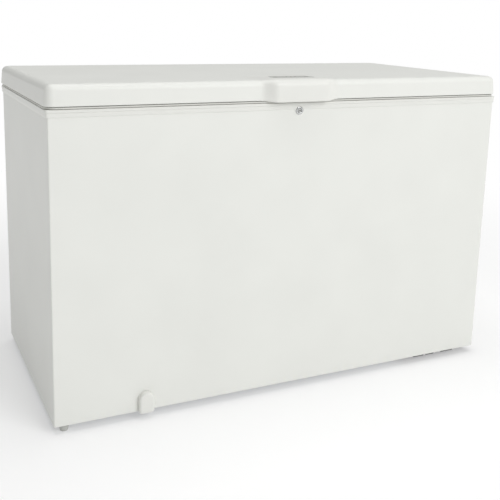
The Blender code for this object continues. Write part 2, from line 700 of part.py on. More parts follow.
def build_terminal_cover(plastic):
    left = COMPRESSOR_X - TERMINAL_WIDTH / 2
    rear = COMPRESSOR_Y - COMPRESSOR_RADIUS - TERMINAL_OFF
    low = BRACKET_TOP + TERMINAL_ABOVE
    corner = (left + TERMINAL_WIDTH, rear, low + TERMINAL_HEIGHT)
    item = add("compressor_terminal_cover", block((left, rear - TERMINAL_DEPTH, low), corner), plastic)
    round_edges(item, TERMINAL_ROUNDING)


def build_pipes(copper):
    """Suction drop, discharge rise and the filter drier between condenser and evaporator."""
    x, y = suction_place()
    crown = BRACKET_TOP + COMPRESSOR_HEIGHT
    level = crown + PIPE_OVER
    start = (x, y, COMPARTMENT_TOP + STEP_WALL)
    corner = (x, y, level)
    over = (x, COMPRESSOR_Y, level)
    down = (x, COMPRESSOR_Y, crown + PIPE_END_GAP)
    route = [start, *bend(start, corner, over, PIPE_BEND), *bend(corner, over, down, PIPE_BEND), down]
    pipe("suction_line", route, PIPE_RADIUS, copper)
    side = COMPRESSOR_X - COMPRESSOR_RADIUS - DISCHARGE_OFF
    rise = BRACKET_TOP + DISCHARGE_RISE
    begin = (COMPRESSOR_X - COMPRESSOR_RADIUS - PIPE_END_GAP, COMPRESSOR_Y, rise)
    knee = (side, COMPRESSOR_Y, rise)
    away = (side, FOAM_Y - DISCHARGE_FROM_REAR, rise)
    route = [begin, *bend(begin, knee, away, THIN_PIPE_BEND), away]
    pipe("discharge_line", route, THIN_PIPE_RADIUS, copper)
    middle = (COMPARTMENT_X + DRIER_IN, DRIER_Y)
    low = BRACKET_TOP + DRIER_ABOVE
    loops = [circle(DRIER_RADIUS * share, low + DRIER_LENGTH * rise, 14, middle)
             for share, rise in DRIER_SHAPE]
    add("filter_drier", loft(loops), copper, smooth=40)


def build_side_grille(plastic):
    low = BASE_HEIGHT + GRILLE_ABOVE_BASE
    high = low + GRILLE_HEIGHT
    near = HALF_X + GAP
    plate = block((near, -GRILLE_DEPTH / 2, low), (near + GRILLE_THICKNESS, GRILLE_DEPTH / 2, high))
    item = add("side_grille", plate, plastic)
    inner = GRILLE_HEIGHT - 2 * GRILLE_BORDER
    pitch = (inner + GRILLE_BAR) / GRILLE_SLOTS
    half = GRILLE_DEPTH / 2 - GRILLE_BORDER
    slots = []
    for row in range(GRILLE_SLOTS):
        start = low + GRILLE_BORDER + row * pitch
        slots.append(block((near - CUT, -half, start), (near + CUT, half, start + pitch - GRILLE_BAR)))
    combine(item, merge(slots))


def build_cord_gland(plastic):
    place = (HALF_X - GLAND_FROM_SIDE, BASE_HEIGHT + GLAND_HEIGHT)
    rear = HALF_Y + GAP
    inside = HALF_Y - SHEET - GLAND_INSIDE
    end = rear + GLAND_LENGTH
    profile = [(GLAND_NECK, inside), (GLAND_NECK, rear), (GLAND_RADIUS, rear),
               (GLAND_RADIUS, rear + GLAND_FLANGE), (GLAND_TIP, end), (GLAND_BORE, end), (GLAND_BORE, inside)]
    loops = [[(x, y, z) for x, z, _ in circle(radius, 0.0, 16, place)] for radius, y in profile]
    add("cord_gland", loft(loops, closed=True), plastic)


# ---------------------------------------------------------------- what it stands on
def build_feet(plastic):
    left = -HALF_X + FOOT_INSET_X
    right = HALF_X - FOOT_INSET_X - FOOT_TOP_RADIUS
    rear = HALF_Y - FOOT_INSET_REAR
    places = {"foot_front_left": (left, -HALF_Y + FOOT_INSET_FRONT),
              "foot_front_right": (right, -HALF_Y + RIGHT_FRONT_FOOT_INSET),
              "foot_rear_left": (left, rear), "foot_rear_right": (right, rear)}
    top = BASE_HEIGHT - FOOT_HEIGHT_GAP
    for name, place in places.items():
        loops = [circle(FOOT_BOTTOM_RADIUS, 0.0, 18, place),
                 circle(FOOT_TOP_RADIUS, top - FOOT_BAND, 18, place), circle(FOOT_TOP_RADIUS, top, 18, place)]
        add(name, loft(loops), plastic, smooth=40)


def build_rear_spacers(plastic):
    low = BASE_HEIGHT + SPACER_HEIGHT_ABOVE
    for side, sign in (("left", -1), ("right", 1)):
        x = sign * SPACER_X
        near = (x - SPACER_SIZE / 2, HALF_Y + GAP, low)
        far = (x + SPACER_SIZE / 2, HALF_Y + SPACER_PROUD, low + SPACER_SIZE)
        item = add(f"rear_spacer_{side}", block(near, far), plastic)
        round_edges(item, SPACER_ROUNDING)


# ---------------------------------------------------------------- drain
def build_drain(plastic, soft_plastic):
    top = LINER_FLOOR - SHEET - GAP
    end = -HALF_Y - DRAIN_SPOUT
    tube = add("drain_tube", pipe_mesh(drain_route(top, end), DRAIN_RADIUS), plastic, smooth=50)
    combine(tube, pipe_mesh(drain_route(top + CUT, end - CUT), DRAIN_BORE))
    place = (DRAIN_X, DRAIN_Y)
    seat = LINER_FLOOR + GAP
    stem = DRAIN_BORE - RUNNING_CLEARANCE * 2
    top = seat + PLUG_GRIP_HEIGHT
    profile = [(stem - PLUG_STEM_TAPER, seat - PLUG_STEM_LENGTH), (stem, seat), (PLUG_FLANGE_RADIUS, seat),
               (PLUG_FLANGE_RADIUS, seat + PLUG_FLANGE / 2), (PLUG_GRIP_RADIUS, seat + PLUG_FLANGE),
               (PLUG_GRIP_WAIST, (seat + PLUG_FLANGE + top) / 2), (PLUG_GRIP_RADIUS, top)]
    plug = loft([circle(radius, z, 18, place) for radius, z in profile])
    add("drain_plug", plug, soft_plastic, pivot=(DRAIN_X, DRAIN_Y, seat), smooth=40)


def arch(half_width, low, high):
    """Outline of the drain cover in X and Z: rounded foot, round top."""
    foot = min(DRAIN_COVER_FOOT, half_width / 2)
    points = []
    for sign, start in ((-1, math.pi), (1, 1.5 * math.pi)):
        for step in range(4):
            angle = start + step / 3 * math.pi / 2
            x = sign * (half_width - foot) + foot * math.cos(angle)
            points.append((DRAIN_X + x, low + foot + foot * math.sin(angle)))
    crown = high - half_width
    for step in range(9):
        angle = step / 8 * math.pi
        points.append((DRAIN_X + half_width * math.cos(angle), crown + half_width * math.sin(angle)))
    return points


def build_drain_cover(plastic):
    near = -HALF_Y - GAP
    far = -HALF_Y - DRAIN_COVER_PROUD
    low = BASE_HEIGHT - DRAIN_COVER_BELOW
    high = low + DRAIN_COVER_HEIGHT
    half = DRAIN_COVER_WIDTH / 2
    wall = DRAIN_COVER_WALL
    edge = DRAIN_COVER_EDGE
    shapes = [(0.0, near), (0.0, far + edge), (edge / 4, far + edge / 3), (edge * 2 / 3, far),
              (edge * 2 / 3 + wall, far + wall), (wall, far + edge + wall), (wall, near)]
    loops = []
    for inset, y in shapes:
        loops.append([(x, y, z) for x, z in arch(half - inset, low + inset, high - inset)])
    mesh = bmesh.new()
    rings = [[mesh.verts.new(point) for point in loop] for loop in loops]
    count = len(rings[0])
    face = 3
    pairs = [(rings[k], rings[k + 1]) for k in range(len(rings) - 1) if k != face]
    pairs.append((rings[-1], rings[0]))
    for outer, inner in pairs:
        for i in range(count):
            j = (i + 1) % count
            mesh.faces.new((outer[i], outer[j], inner[j], inner[i]))
    mesh.faces.new(rings[face])
    mesh.faces.new(rings[face + 1])
    add("drain_cover", mesh, plastic, pivot=(DRAIN_X, near, low), smooth=40)


# ---------------------------------------------------------------- lock
def build_lock(chrome, dark):
    front = -HALF_Y - LOCK_PROUD
    place = (0.0, LOCK_Z)
    bore = LOCK_RADIUS + RUNNING_CLEARANCE
    chamfer = LOCK_RING_CHAMFER
    back = -HALF_Y - GAP
    profile = [(LOCK_RING_RADIUS, back), (LOCK_RING_RADIUS, front + chamfer),
               (LOCK_RING_RADIUS - chamfer, front), (bore, front), (bore, back)]
    loops = [[(x, y, z) for x, z, _ in circle(radius, 0.0, 24, place)] for radius, y in profile]
    add("lock_escutcheon", loft(loops, closed=True), chrome, smooth=40)
    face = front + LOCK_RECESS
    item = add("lock_cylinder", drum(LOCK_RADIUS, 1, face, front + LOCK_LENGTH, place, 24), dark,
               pivot=LOCK_AXIS, smooth=40)
    keyway = block((-KEYWAY_WIDTH / 2, front - CUT, LOCK_Z - KEYWAY_HEIGHT / 2),
                   (KEYWAY_WIDTH / 2, face + KEYWAY_DEPTH, LOCK_Z + KEYWAY_HEIGHT / 2))
    combine(item, keyway)
    cam = block((-CAM_WIDTH / 2, CAM_FRONT, LOCK_Z - CAM_WIDTH / 2),
                (CAM_WIDTH / 2, CAM_REAR, LOCK_Z + CAM_LENGTH))
    add("lock_cam", cam, chrome, pivot=LOCK_AXIS)


def build_lock_striker(zinc):
    """A hook on the lid; the turned cam lies over its toe."""
    shank = CAM_LENGTH + STRIKER_CLEARANCE
    outer = shank + CAM_THICKNESS
    toe = CAM_WIDTH / 2 + STRIKER_CLEARANCE + STRIKER_SHEET
    toe_top = LOCK_Z - CAM_WIDTH / 2 - STRIKER_CLEARANCE
    under = toe_top - CAM_THICKNESS
    top = LID_BOTTOM - GAP
    flange = shank - STRIKER_FLANGE
    outline = [(toe, under), (outer, under), (outer, top), (flange, top), (flange, top - STRIKER_SHEET),
               (shank, top - STRIKER_SHEET), (shank, toe_top), (toe, toe_top)]
    add("lock_striker", prism(outline, 1, CAM_FRONT, CAM_REAR), zinc, pivot=LID_AXIS)


# ---------------------------------------------------------------- hinges
def build_hinge(side, sign, steel, spring_steel, plastic):
    middle = sign * HINGE_X
    half = HINGE_WIDTH / 2
    axis_y, axis_z = LID_AXIS.y, LID_AXIS.z
    back = HALF_Y + GAP
    plate = HINGE_PLATE
    lip_under = RIM_TOP - RIM_HEIGHT - GAP
    low = lip_under - HINGE_BRACKET_HEIGHT
    reach = axis_y + HINGE_KNUCKLE_RADIUS
    near = (middle - half, back, low)
    bracket = add(f"hinge_bracket_{side}", block(near, (middle + half, back + plate, lip_under)), steel)
    clear = HALF_Y + RIM_PROUD_FRONT + 2 * GAP
    crest = axis_z + HINGE_EAR_ROUND
    ear = [(back, low), (reach - plate / 2, low), (reach, axis_z), (reach - plate, crest),
           (clear, crest), (clear, lip_under), (back, lip_under)]
    for edge in (-1, 1):
        inner = middle + edge * (half - plate / 2)
        outer = middle + edge * (half + plate)
        combine(bracket, prism(ear, 0, min(inner, outer), max(inner, outer)), "UNION")
    bore = HINGE_PIN_RADIUS + RUNNING_CLEARANCE / 2
    combine(bracket, drum(bore, 0, middle - half - CUT, middle + half + CUT, (axis_y, axis_z), 12))
    end = half + plate + HINGE_PIN_END
    pin = drum(HINGE_PIN_RADIUS, 0, middle - end, middle + end, (axis_y, axis_z), 12)
    add(f"hinge_pin_{side}", pin, steel, smooth=40)

    width = half - plate - RUNNING_CLEARANCE
    leaf_y = LID_REAR + GAP
    knuckle = drum(HINGE_KNUCKLE_RADIUS - GAP, 0, middle - width, middle + width, (axis_y, axis_z), 20)
    leaf = add(f"hinge_leaf_{side}", knuckle, steel, pivot=LID_AXIS)
    leaf_top = LID_BOTTOM + HINGE_LEAF_HEIGHT
    tongue = block((middle - width, leaf_y, axis_z), (middle + width, leaf_y + plate, leaf_top))
    combine(leaf, tongue, "UNION")
    bore = HINGE_PIN_RADIUS + RUNNING_CLEARANCE
    combine(leaf, drum(bore, 0, middle - half, middle + half, (axis_y, axis_z), 12))

    wire = SPRING_WIRE_RADIUS
    spring_y = back + plate + SPRING_RADIUS + wire + GAP
    start = low + SPRING_END_ROOM
    height = axis_z - HINGE_KNUCKLE_RADIUS - wire - SPRING_END_ROOM / 2 - start
    steps = SPRING_TURNS * 8
    points = []
    for step in range(steps + 1):
        angle = step * math.pi / 4
        points.append((middle + SPRING_RADIUS * math.cos(angle),
                       spring_y + SPRING_RADIUS * math.sin(angle), start + height * step / steps))
    pipe(f"hinge_spring_{side}", points, wire, spring_steel, resolution=0)
    face = reach + GAP
    cover_top = axis_z - HINGE_KNUCKLE_RADIUS - HINGE_COVER_BELOW
    cover = block((middle - half - plate, face, low),
                  (middle + half + plate, face + HINGE_COVER_SHEET, cover_top))
    add(f"hinge_cover_{side}", cover, plastic)


# ---------------------------------------------------------------- lid
def lid_loops(inset, low):
    """Outside of the lid grown inwards by inset, from its lower edge up to the flat top."""
    middle = (0.0, LID_MIDDLE_Y)
    top = LID_TOP - inset
    shoulder = LID_TOP - LID_EDGE_RADIUS
    radius = LID_EDGE_RADIUS - inset
    corner = LID_CORNER - inset
    loops = [rounded_rectangle(LID_X - inset, LID_Y - inset, corner, low, middle)]
    for step in range(5):
        angle = step / 4 * math.pi / 2
        lean = inset + LID_DRAFT + radius * (1 - math.cos(angle))
        z = shoulder + radius * math.sin(angle)
        keep = max(corner - lean + inset, LID_CORNER_LEAST)
        loops.append(rounded_rectangle(LID_X - lean, LID_Y - lean, keep, min(z, top), middle))
    return loops


def build_lid_shell(steel):
    outer = lid_loops(0.0, LID_BOTTOM)
    inner = lid_loops(LID_SHEET, LID_BOTTOM)
    add("lid_shell", loft(list(reversed(outer)) + inner), steel, pivot=LID_AXIS, smooth=30)


def plug_loops(grow, bottom, flange):
    """The lid's inner panel from its raised middle out to its flange; grow is outwards and down."""
    half_x = INNER_X - LID_PLUG_CLEARANCE + grow
    half_y = INNER_Y - LID_PLUG_CLEARANCE + grow
    slope = LID_PLUG_SLOPE
    return [rounded_rectangle(half_x - slope, half_y - slope, LINER_RADIUS, bottom),
            rounded_rectangle(half_x, half_y, LINER_RADIUS + slope / 2, flange)]


def build_lid_inner_panel(plastic):
    inset = LID_SHEET + GAP
    edge_x, edge_y = LID_X - inset, LID_Y - inset
    corner = LID_CORNER - inset
    middle = (0.0, LID_MIDDLE_Y)
    under = LID_BOTTOM
    over = LID_BOTTOM + LID_SHEET
    bottom = LID_BOTTOM - LID_PLUG_DROP
    lower = plug_loops(0.0, bottom, under) + [rounded_rectangle(edge_x, edge_y, corner, under, middle)]
    upper = [rounded_rectangle(edge_x, edge_y, corner, over, middle)]
    upper += list(reversed(plug_loops(-LID_SHEET, bottom + LID_SHEET, over)))
    add("lid_inner_panel", loft(lower + upper), plastic, pivot=LID_AXIS, smooth=30)


def build_lid_foam(foam):
    over = LID_BOTTOM + LID_SHEET + GAP
    bottom = LID_BOTTOM - LID_PLUG_DROP + LID_SHEET + GAP
    loops = plug_loops(-LID_SHEET - 2 * GAP, bottom, over) + lid_loops(LID_SHEET + GAP, over)
    add("lid_foam", loft(loops), foam, pivot=LID_AXIS)


def build_lid_gasket(rubber):
    outer_x = HALF_X - GASKET_INSET
    outer_y = HALF_Y - GASKET_INSET
    low = RIM_TOP + GASKET_CLEARANCE
    high = LID_BOTTOM - GASKET_CLEARANCE
    middle = (low + high) / 2
    loops = []
    width = GASKET_WIDTH
    for inset, z in ((0.0, low), (GASKET_WAIST, middle), (0.0, high), (width, high), (width, low)):
        corner = max(GASKET_CORNER - inset, GASKET_CORNER / 3)
        loops.append(rounded_rectangle(outer_x - inset, outer_y - inset, corner, z))
    add("lid_gasket", loft(loops, closed=True), rubber, pivot=LID_AXIS)


# ---------------------------------------------------------------- handle and controls
def button_holes(low):
    """Cutters for the two buttons, from a height up through the controls."""
    radius = BUTTON_RADIUS + RUNNING_CLEARANCE
    places = [(sign * BUTTON_X, STRIP_Y) for sign in (-1, 1)]
    return [drum(radius, 2, low, PAD_TOP + CUT, place, 18) for place in places]


def build_handle(plastic):
    rear = LID_FRONT + HANDLE_TOP_REACH
    inner = LID_FRONT - GAP
    edge = HANDLE_EDGE
    radius = HANDLE_PROUD + HANDLE_LEAN
    shoulder = PAD_TOP - radius
    outline = [(rear, PAD_UNDER), (inner, PAD_UNDER), (inner, HANDLE_UNDER),
               (HANDLE_FRONT + edge, HANDLE_UNDER), (HANDLE_FRONT, HANDLE_UNDER + edge),
               (HANDLE_FRONT, (HANDLE_UNDER + shoulder) / 2)]
    centre = HANDLE_FRONT + HANDLE_LEAN + radius
    for step in range(5):
        angle = math.pi - step / 4 * math.pi / 2
        outline.append((centre + radius * math.cos(angle), shoulder + radius * math.sin(angle)))
    outline.append((rear - HANDLE_PAD / 2, PAD_TOP))
    outline.append((rear, PAD_UNDER + HANDLE_PAD / 2))
    half = HANDLE_WIDTH / 2
    item = add("handle", prism(outline, 0, -half, half), plastic, pivot=LID_AXIS)
    grip = HANDLE_WIDTH / 2 - HANDLE_END
    lip = HANDLE_FRONT + HANDLE_WALL
    finger_top = HANDLE_UNDER + FINGER_HEIGHT
    combine(item, block((-grip, lip, HANDLE_UNDER - CUT), (grip, LID_FRONT + CUT / 2, finger_top)))
    seat = PAD_TOP - STRIP_THICKNESS
    half_x = STRIP_WIDTH / 2 + GAP
    half_y = STRIP_DEPTH / 2 + GAP
    combine(item, block((-half_x, STRIP_Y - half_y, seat), (half_x, STRIP_Y + half_y, PAD_TOP + CUT)))
    combine(item, merge(button_holes(PAD_UNDER - CUT)))


def build_controls(grey, buttons, lenses):
    half_x = STRIP_WIDTH / 2
    half_y = STRIP_DEPTH / 2
    low = PAD_TOP - STRIP_THICKNESS + GAP
    plate = block((-half_x, STRIP_Y - half_y, low), (half_x, STRIP_Y + half_y, PAD_TOP))
    strip = add("control_strip", plate, grey, pivot=LID_AXIS)
    holes = button_holes(low - CUT)
    for number in (-1, 0, 1):
        place = (number * LENS_PITCH, STRIP_Y)
        holes.append(drum(LENS_RADIUS + GAP, 2, low - CUT, PAD_TOP + CUT, place, 12))
    combine(strip, merge(holes))
    top = PAD_TOP + BUTTON_PROUD
    for name, sign in (("temperature_button", -1), ("fast_freeze_button", 1)):
        place = (sign * BUTTON_X, STRIP_Y)
        cap = drum(BUTTON_RADIUS, 2, top - BUTTON_HEIGHT, top, place, 18)
        add(name, cap, buttons, pivot=(place[0], place[1], top), smooth=40)
    for (name, material), number in zip(lenses.items(), (-1, 0, 1)):
        lens = drum(LENS_RADIUS, 2, low, PAD_TOP + LENS_PROUD, (number * LENS_PITCH, STRIP_Y), 12)
        add(name, lens, material, pivot=LID_AXIS, smooth=40)


# ---------------------------------------------------------------- baskets
def build_basket(name, middle_x, wire):
    top = LEDGE_TOP + BASKET_REST + BASKET_WALL
    bottom = top - BASKET_HEIGHT
    half_x = BASKET_LENGTH / 2
    half_y = INNER_Y - BASKET_SIDE_CLEARANCE
    hook = INNER_Y + BASKET_HOOK
    wall = BASKET_WALL
    taper = BASKET_TAPER
    under = top - wall
    middle = (middle_x, 0.0)
    sizes = [(half_x - taper, half_y - taper, BASKET_CORNER, bottom), (half_x, half_y, BASKET_CORNER, under),
             (half_x + wall, hook, BASKET_CORNER, under), (half_x + wall, hook, BASKET_CORNER, top),
             (half_x - wall, half_y - wall, BASKET_CORNER - wall, top),
             (half_x - taper - wall, half_y - taper - wall, BASKET_CORNER - wall, bottom + wall)]
    loops = [rounded_rectangle(*size, middle) for size in sizes]
    add(name, loft(loops), wire, pivot=(middle_x, 0.0, top), smooth=30)


# ---------------------------------------------------------------- the whole freezer
def clear_scene():
    for item in list(bpy.data.objects):
        bpy.data.objects.remove(item)


def build_freezer():
    white_steel = finish("white_painted_steel", "E4E5E1", 0.35)
    grey_steel = finish("grey_painted_steel", "B9BBB8", 0.45)
    zinc = finish("galvanised_steel", "A9ADB0", 0.45, 0.9)
    white_plastic = finish("white_plastic", "E2E3DF", 0.4)
    liner_metal = finish("stucco_aluminium", "D5D8DA", 0.4, 0.8)
    foam = finish("polyurethane_foam", "D9C98F", 0.9)
    copper = finish("copper_tube", "B87746", 0.35, 1.0)
    black_paint = finish("black_enamel", "1B1C1E", 0.35)
    black_plastic = finish("black_plastic", "242527", 0.5)
    rubber = finish("black_rubber", "1E1E1E", 0.8)
    seal = finish("white_pvc_seal", "D3D4D0", 0.6)
    chrome = finish("bright_metal", "CFD1D2", 0.2, 1.0)
    bracket_steel = finish("bracket_steel", "9DA1A4", 0.35, 1.0)
    grey_plastic = finish("grey_plastic", "A7A9A6", 0.4)
    wire = finish("coated_wire", "E8E9E8", 0.35)
    strip_grey = finish("control_grey", "9B9D9A", 0.35)
    button_grey = finish("button_grey", "7F8280", 0.4)

    build_cabinet_wrapper(white_steel)
    build_rear_panel(grey_steel)
    build_base_panel(zinc)
    build_cabinet_foam(foam)
    build_inner_liner(liner_metal)
    build_rim_collar(white_plastic)
    build_evaporator_coil(copper)
    build_condenser_coil(black_paint)
    build_compartment_panel(zinc)
    build_compressor_tray(black_paint)
    build_compressor(black_paint)
    build_compressor_bracket(black_paint)
    build_compressor_mounts(rubber)
    build_terminal_cover(black_plastic)
    build_pipes(copper)
    build_side_grille(white_plastic)
    build_cord_gland(black_plastic)
    build_feet(grey_plastic)
    build_rear_spacers(black_plastic)
    build_drain(grey_plastic, white_plastic)
    build_drain_cover(white_plastic)
    build_lock(chrome, black_plastic)
    build_lock_striker(zinc)
    for side, sign in (("left", -1), ("right", 1)):
        build_hinge(side, sign, bracket_steel, zinc, grey_plastic)
    build_lid_shell(white_steel)
    build_lid_foam(foam)
    build_lid_inner_panel(white_plastic)
    build_lid_gasket(seal)
    build_handle(white_plastic)
    lenses = {"lamp_green": finish("green_lens", "3E9B57", 0.2),
              "lamp_yellow": finish("yellow_lens", "D9A93A", 0.2),
              "lamp_red": finish("red_lens", "B8372E", 0.2)}
    build_controls(strip_grey, button_grey, lenses)
    reach = INNER_X - BASKET_FROM_END - BASKET_LENGTH / 2
    build_basket("basket_left", -reach, wire)
    build_basket("basket_right", reach, wire)


clear_scene()
build_freezer()
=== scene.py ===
# %% [markdown]
# # Chest freezer
#
# A wide white chest freezer on a pale floor: a painted steel cabinet, a
# foamed lid on two rear hinges, a moulded grip with a small control strip, a
# lock, and a drain outlet low on the front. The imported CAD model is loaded
# first and never moved. It gives every place and size, so each new surface
# below starts from the box of the piece that it stands for.

# %% Load the frame
import json

import bmesh
import bpy
import numpy as np
from mathutils import Matrix, Vector

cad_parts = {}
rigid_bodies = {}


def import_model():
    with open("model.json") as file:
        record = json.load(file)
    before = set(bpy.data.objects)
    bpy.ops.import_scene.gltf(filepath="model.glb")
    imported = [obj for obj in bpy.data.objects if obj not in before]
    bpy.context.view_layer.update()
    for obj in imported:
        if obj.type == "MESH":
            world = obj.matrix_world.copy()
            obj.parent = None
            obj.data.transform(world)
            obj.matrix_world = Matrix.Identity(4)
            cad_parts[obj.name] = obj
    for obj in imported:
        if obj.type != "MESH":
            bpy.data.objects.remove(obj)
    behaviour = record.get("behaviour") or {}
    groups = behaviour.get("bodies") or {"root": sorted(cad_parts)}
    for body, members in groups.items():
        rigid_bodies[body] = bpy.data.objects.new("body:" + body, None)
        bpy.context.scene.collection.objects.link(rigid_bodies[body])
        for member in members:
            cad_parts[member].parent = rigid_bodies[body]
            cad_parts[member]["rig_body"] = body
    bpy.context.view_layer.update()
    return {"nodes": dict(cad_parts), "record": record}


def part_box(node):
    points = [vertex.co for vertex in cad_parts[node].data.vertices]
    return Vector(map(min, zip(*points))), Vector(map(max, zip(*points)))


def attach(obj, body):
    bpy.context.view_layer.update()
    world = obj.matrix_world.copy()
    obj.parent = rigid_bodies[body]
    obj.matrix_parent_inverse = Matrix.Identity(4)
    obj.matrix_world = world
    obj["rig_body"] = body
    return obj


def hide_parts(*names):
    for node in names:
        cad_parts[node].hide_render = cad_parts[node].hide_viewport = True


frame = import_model()

# %% [markdown]
# ## Camera
#
# A product picture of a freezer is usually taken from a little above the lid
# and to one side, so that the top, the front and one end all show. The camera
# here is described by three angles and a distance along each axis. A small
# vertical shift keeps upright edges nearly upright, as an architect's lens does.

# %% Camera
CAMERA_AT = (-1.0775, -2.1912, 1.0880)
CAMERA_YAW, CAMERA_PITCH, CAMERA_ROLL = np.radians((24.662, 11.011, 1.208))
FOCAL_IN_FRAMES = 1.554
SENSOR = 36.0


def camera_axes(yaw, pitch, roll):
    """Right, up and back of a camera that looks along +Y, turned right by yaw, down by pitch, then rolled."""
    ahead = np.array((np.sin(yaw) * np.cos(pitch), np.cos(yaw) * np.cos(pitch), -np.sin(pitch)))
    right = np.array((np.cos(yaw), -np.sin(yaw), 0.0))
    up = np.cross(right, ahead)
    turned_right = np.cos(roll) * right + np.sin(roll) * up
    turned_up = np.cos(roll) * up - np.sin(roll) * right
    return turned_right, turned_up, -ahead


camera_data = bpy.data.cameras.new("camera")
camera_data.sensor_width = SENSOR
camera_data.lens = FOCAL_IN_FRAMES * SENSOR
camera_data.shift_x = 0.05
camera_data.shift_y = -0.17
camera = bpy.data.objects.new("camera", camera_data)
bpy.context.scene.collection.objects.link(camera)
placed = np.eye(4)
placed[:3, :3] = np.column_stack(camera_axes(CAMERA_YAW, CAMERA_PITCH, CAMERA_ROLL))
placed[:3, 3] = CAMERA_AT
camera.matrix_world = Matrix(placed.tolist())
bpy.context.scene.camera = camera
print(f"lens {camera_data.lens:.1f} mm")

# %% [markdown]
# ## Helpers for surfaces
#
# Almost every piece of a freezer is a folded or moulded outline. All of them
# can be worked out as a grid of points: one direction goes round the outline,
# the other goes along the profile. One function turns such a grid into a mesh,
# and checks with the signed volume that its faces point outwards.

# %% Grid of points to a closed piece
def piece_from(name, points, faces, finish, body, smooth=35.0):
    """A mesh piece from points and faces, facing out, shaded smooth below an angle, riding on a body."""
    mesh = bpy.data.meshes.new(name)
    mesh.from_pydata(points.tolist(), [], faces)
    work = bmesh.new()
    work.from_mesh(mesh)
    if work.calc_volume(signed=True) < 0.0:
        bmesh.ops.reverse_faces(work, faces=work.faces)
        work.to_mesh(mesh)
    work.free()
    mesh.materials.append(finish)
    mesh.shade_smooth()
    mesh.set_sharp_from_angle(angle=np.radians(smooth))
    piece = bpy.data.objects.new(name, mesh)
    bpy.context.scene.collection.objects.link(piece)
    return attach(piece, body)


def grid_faces(rows, columns, ends):
    """Quads between neighbouring rings: ends is "cap" for a face over each end, "join" for a closed loop."""
    last = rows if ends == "join" else rows - 1
    row, column = np.meshgrid(np.arange(last), np.arange(columns), indexing="ij")
    above, beside = (row + 1) % rows, (column + 1) % columns
    quads = np.stack((row * columns + column, row * columns + beside,
                      above * columns + beside, above * columns + column), axis=-1)
    faces = quads.reshape(-1, 4).tolist()
    if ends == "cap":
        faces.append(list(range(columns))[::-1])
        faces.append(list(range((rows - 1) * columns, rows * columns)))
    return faces


def skin(name, grid, finish, body, ends="cap", smooth=35.0):
    """A closed piece from a grid of points with rows, columns and three coordinates; each row is a ring."""
    rows, columns = grid.shape[:2]
    return piece_from(name, grid.reshape(-1, 3), grid_faces(rows, columns, ends), finish, body, smooth)


# %% Rounded rectangles, carried along a profile
CORNER_STEPS = 10


def rounded_ring(half_x, half_y, radius, steps=CORNER_STEPS):
    """Points of rounded rectangles: each corner is a centre plus a quarter circle of the radius.

    The three sizes are arrays with one value for each ring.
    """
    quarter = np.arange(4)[:, None]
    angle = ((quarter + np.linspace(0.0, 1.0, steps + 1)) * np.pi / 2).reshape(-1)
    sign_x = np.repeat((1.0, -1.0, -1.0, 1.0), steps + 1)
    sign_y = np.repeat((1.0, 1.0, -1.0, -1.0), steps + 1)
    x = sign_x * (half_x - radius)[:, None] + radius[:, None] * np.cos(angle)
    y = sign_y * (half_y - radius)[:, None] + radius[:, None] * np.sin(angle)
    return x, y


def tray(profile, half_x, half_y, corner, middle=(0.0, 0.0), smallest=0.002):
    """Grid of a moulded tray: a profile of (inset, height) pairs carried round a rounded rectangle.

    The inset is taken off both half sizes and off the corner's radius.
    """
    inset, height = np.array(profile).T
    radius = np.maximum(corner - inset, smallest)
    x, y = rounded_ring(half_x - inset, half_y - inset, radius)
    z = np.broadcast_to(height[:, None], x.shape)
    return np.stack((x + middle[0], y + middle[1], z), axis=-1)


def arc(centre, radius, start, end, steps):
    """Pairs on an arc: the centre plus the radius times cosine and sine of an angle in degrees."""
    angle = np.radians(np.linspace(start, end, steps + 1))
    pair = np.stack((centre[0] + radius * np.cos(angle), centre[1] + radius * np.sin(angle)), axis=-1)
    return pair.tolist()


# %% Turned pieces and tubes
AXES = {"X": (1, 2, 0), "Y": (0, 2, 1), "Z": (0, 1, 2)}


def turned(name, profile, centre, axis, finish, body, sides=48, ends="cap", smooth=35.0):
    """A piece turned on an axis: each (radius, position along the axis) pair becomes a circle."""
    radius, along = np.array(profile).T
    angle = np.arange(sides) * 2 * np.pi / sides
    grid = np.empty((len(radius), sides, 3))
    first, second, third = AXES[axis]
    grid[..., first] = centre[0] + radius[:, None] * np.cos(angle)
    grid[..., second] = centre[1] + radius[:, None] * np.sin(angle)
    grid[..., third] = along[:, None]
    return skin(name, grid, finish, body, ends, smooth)


def tube_grid(path, radius, across, sides=10, closed=False):
    """Grid of a round wire: at each point of the path a circle in the plane across its direction.

    The direction is the difference of the neighbouring points, and `across` is
    a vector that is never in line with it.
    """
    path = np.asarray(path, float)
    if closed:
        direction = np.roll(path, -1, axis=0) - np.roll(path, 1, axis=0)
    else:
        direction = np.gradient(path, axis=0)
    direction /= np.linalg.norm(direction, axis=1)[:, None]
    side = np.cross(direction, across)
    side /= np.linalg.norm(side, axis=1)[:, None]
    over = np.cross(side, direction)
    angle = np.arange(sides) * 2 * np.pi / sides
    across_circle = np.cos(angle)[:, None] * side[:, None] + np.sin(angle)[:, None] * over[:, None]
    return path[:, None] + radius * across_circle


def bundle(name, grids, finish, body, smooth=60.0):
    """One piece from several grids of rings, each closed by its own ends: (grid, "cap" or "join") pairs."""
    points, faces, start = [], [], 0
    for grid, ends in grids:
        rows, columns = grid.shape[:2]
        points.append(grid.reshape(-1, 3))
        faces += [[start + index for index in face] for face in grid_faces(rows, columns, ends)]
        start += rows * columns
    return piece_from(name, np.concatenate(points), faces, finish, body, smooth)


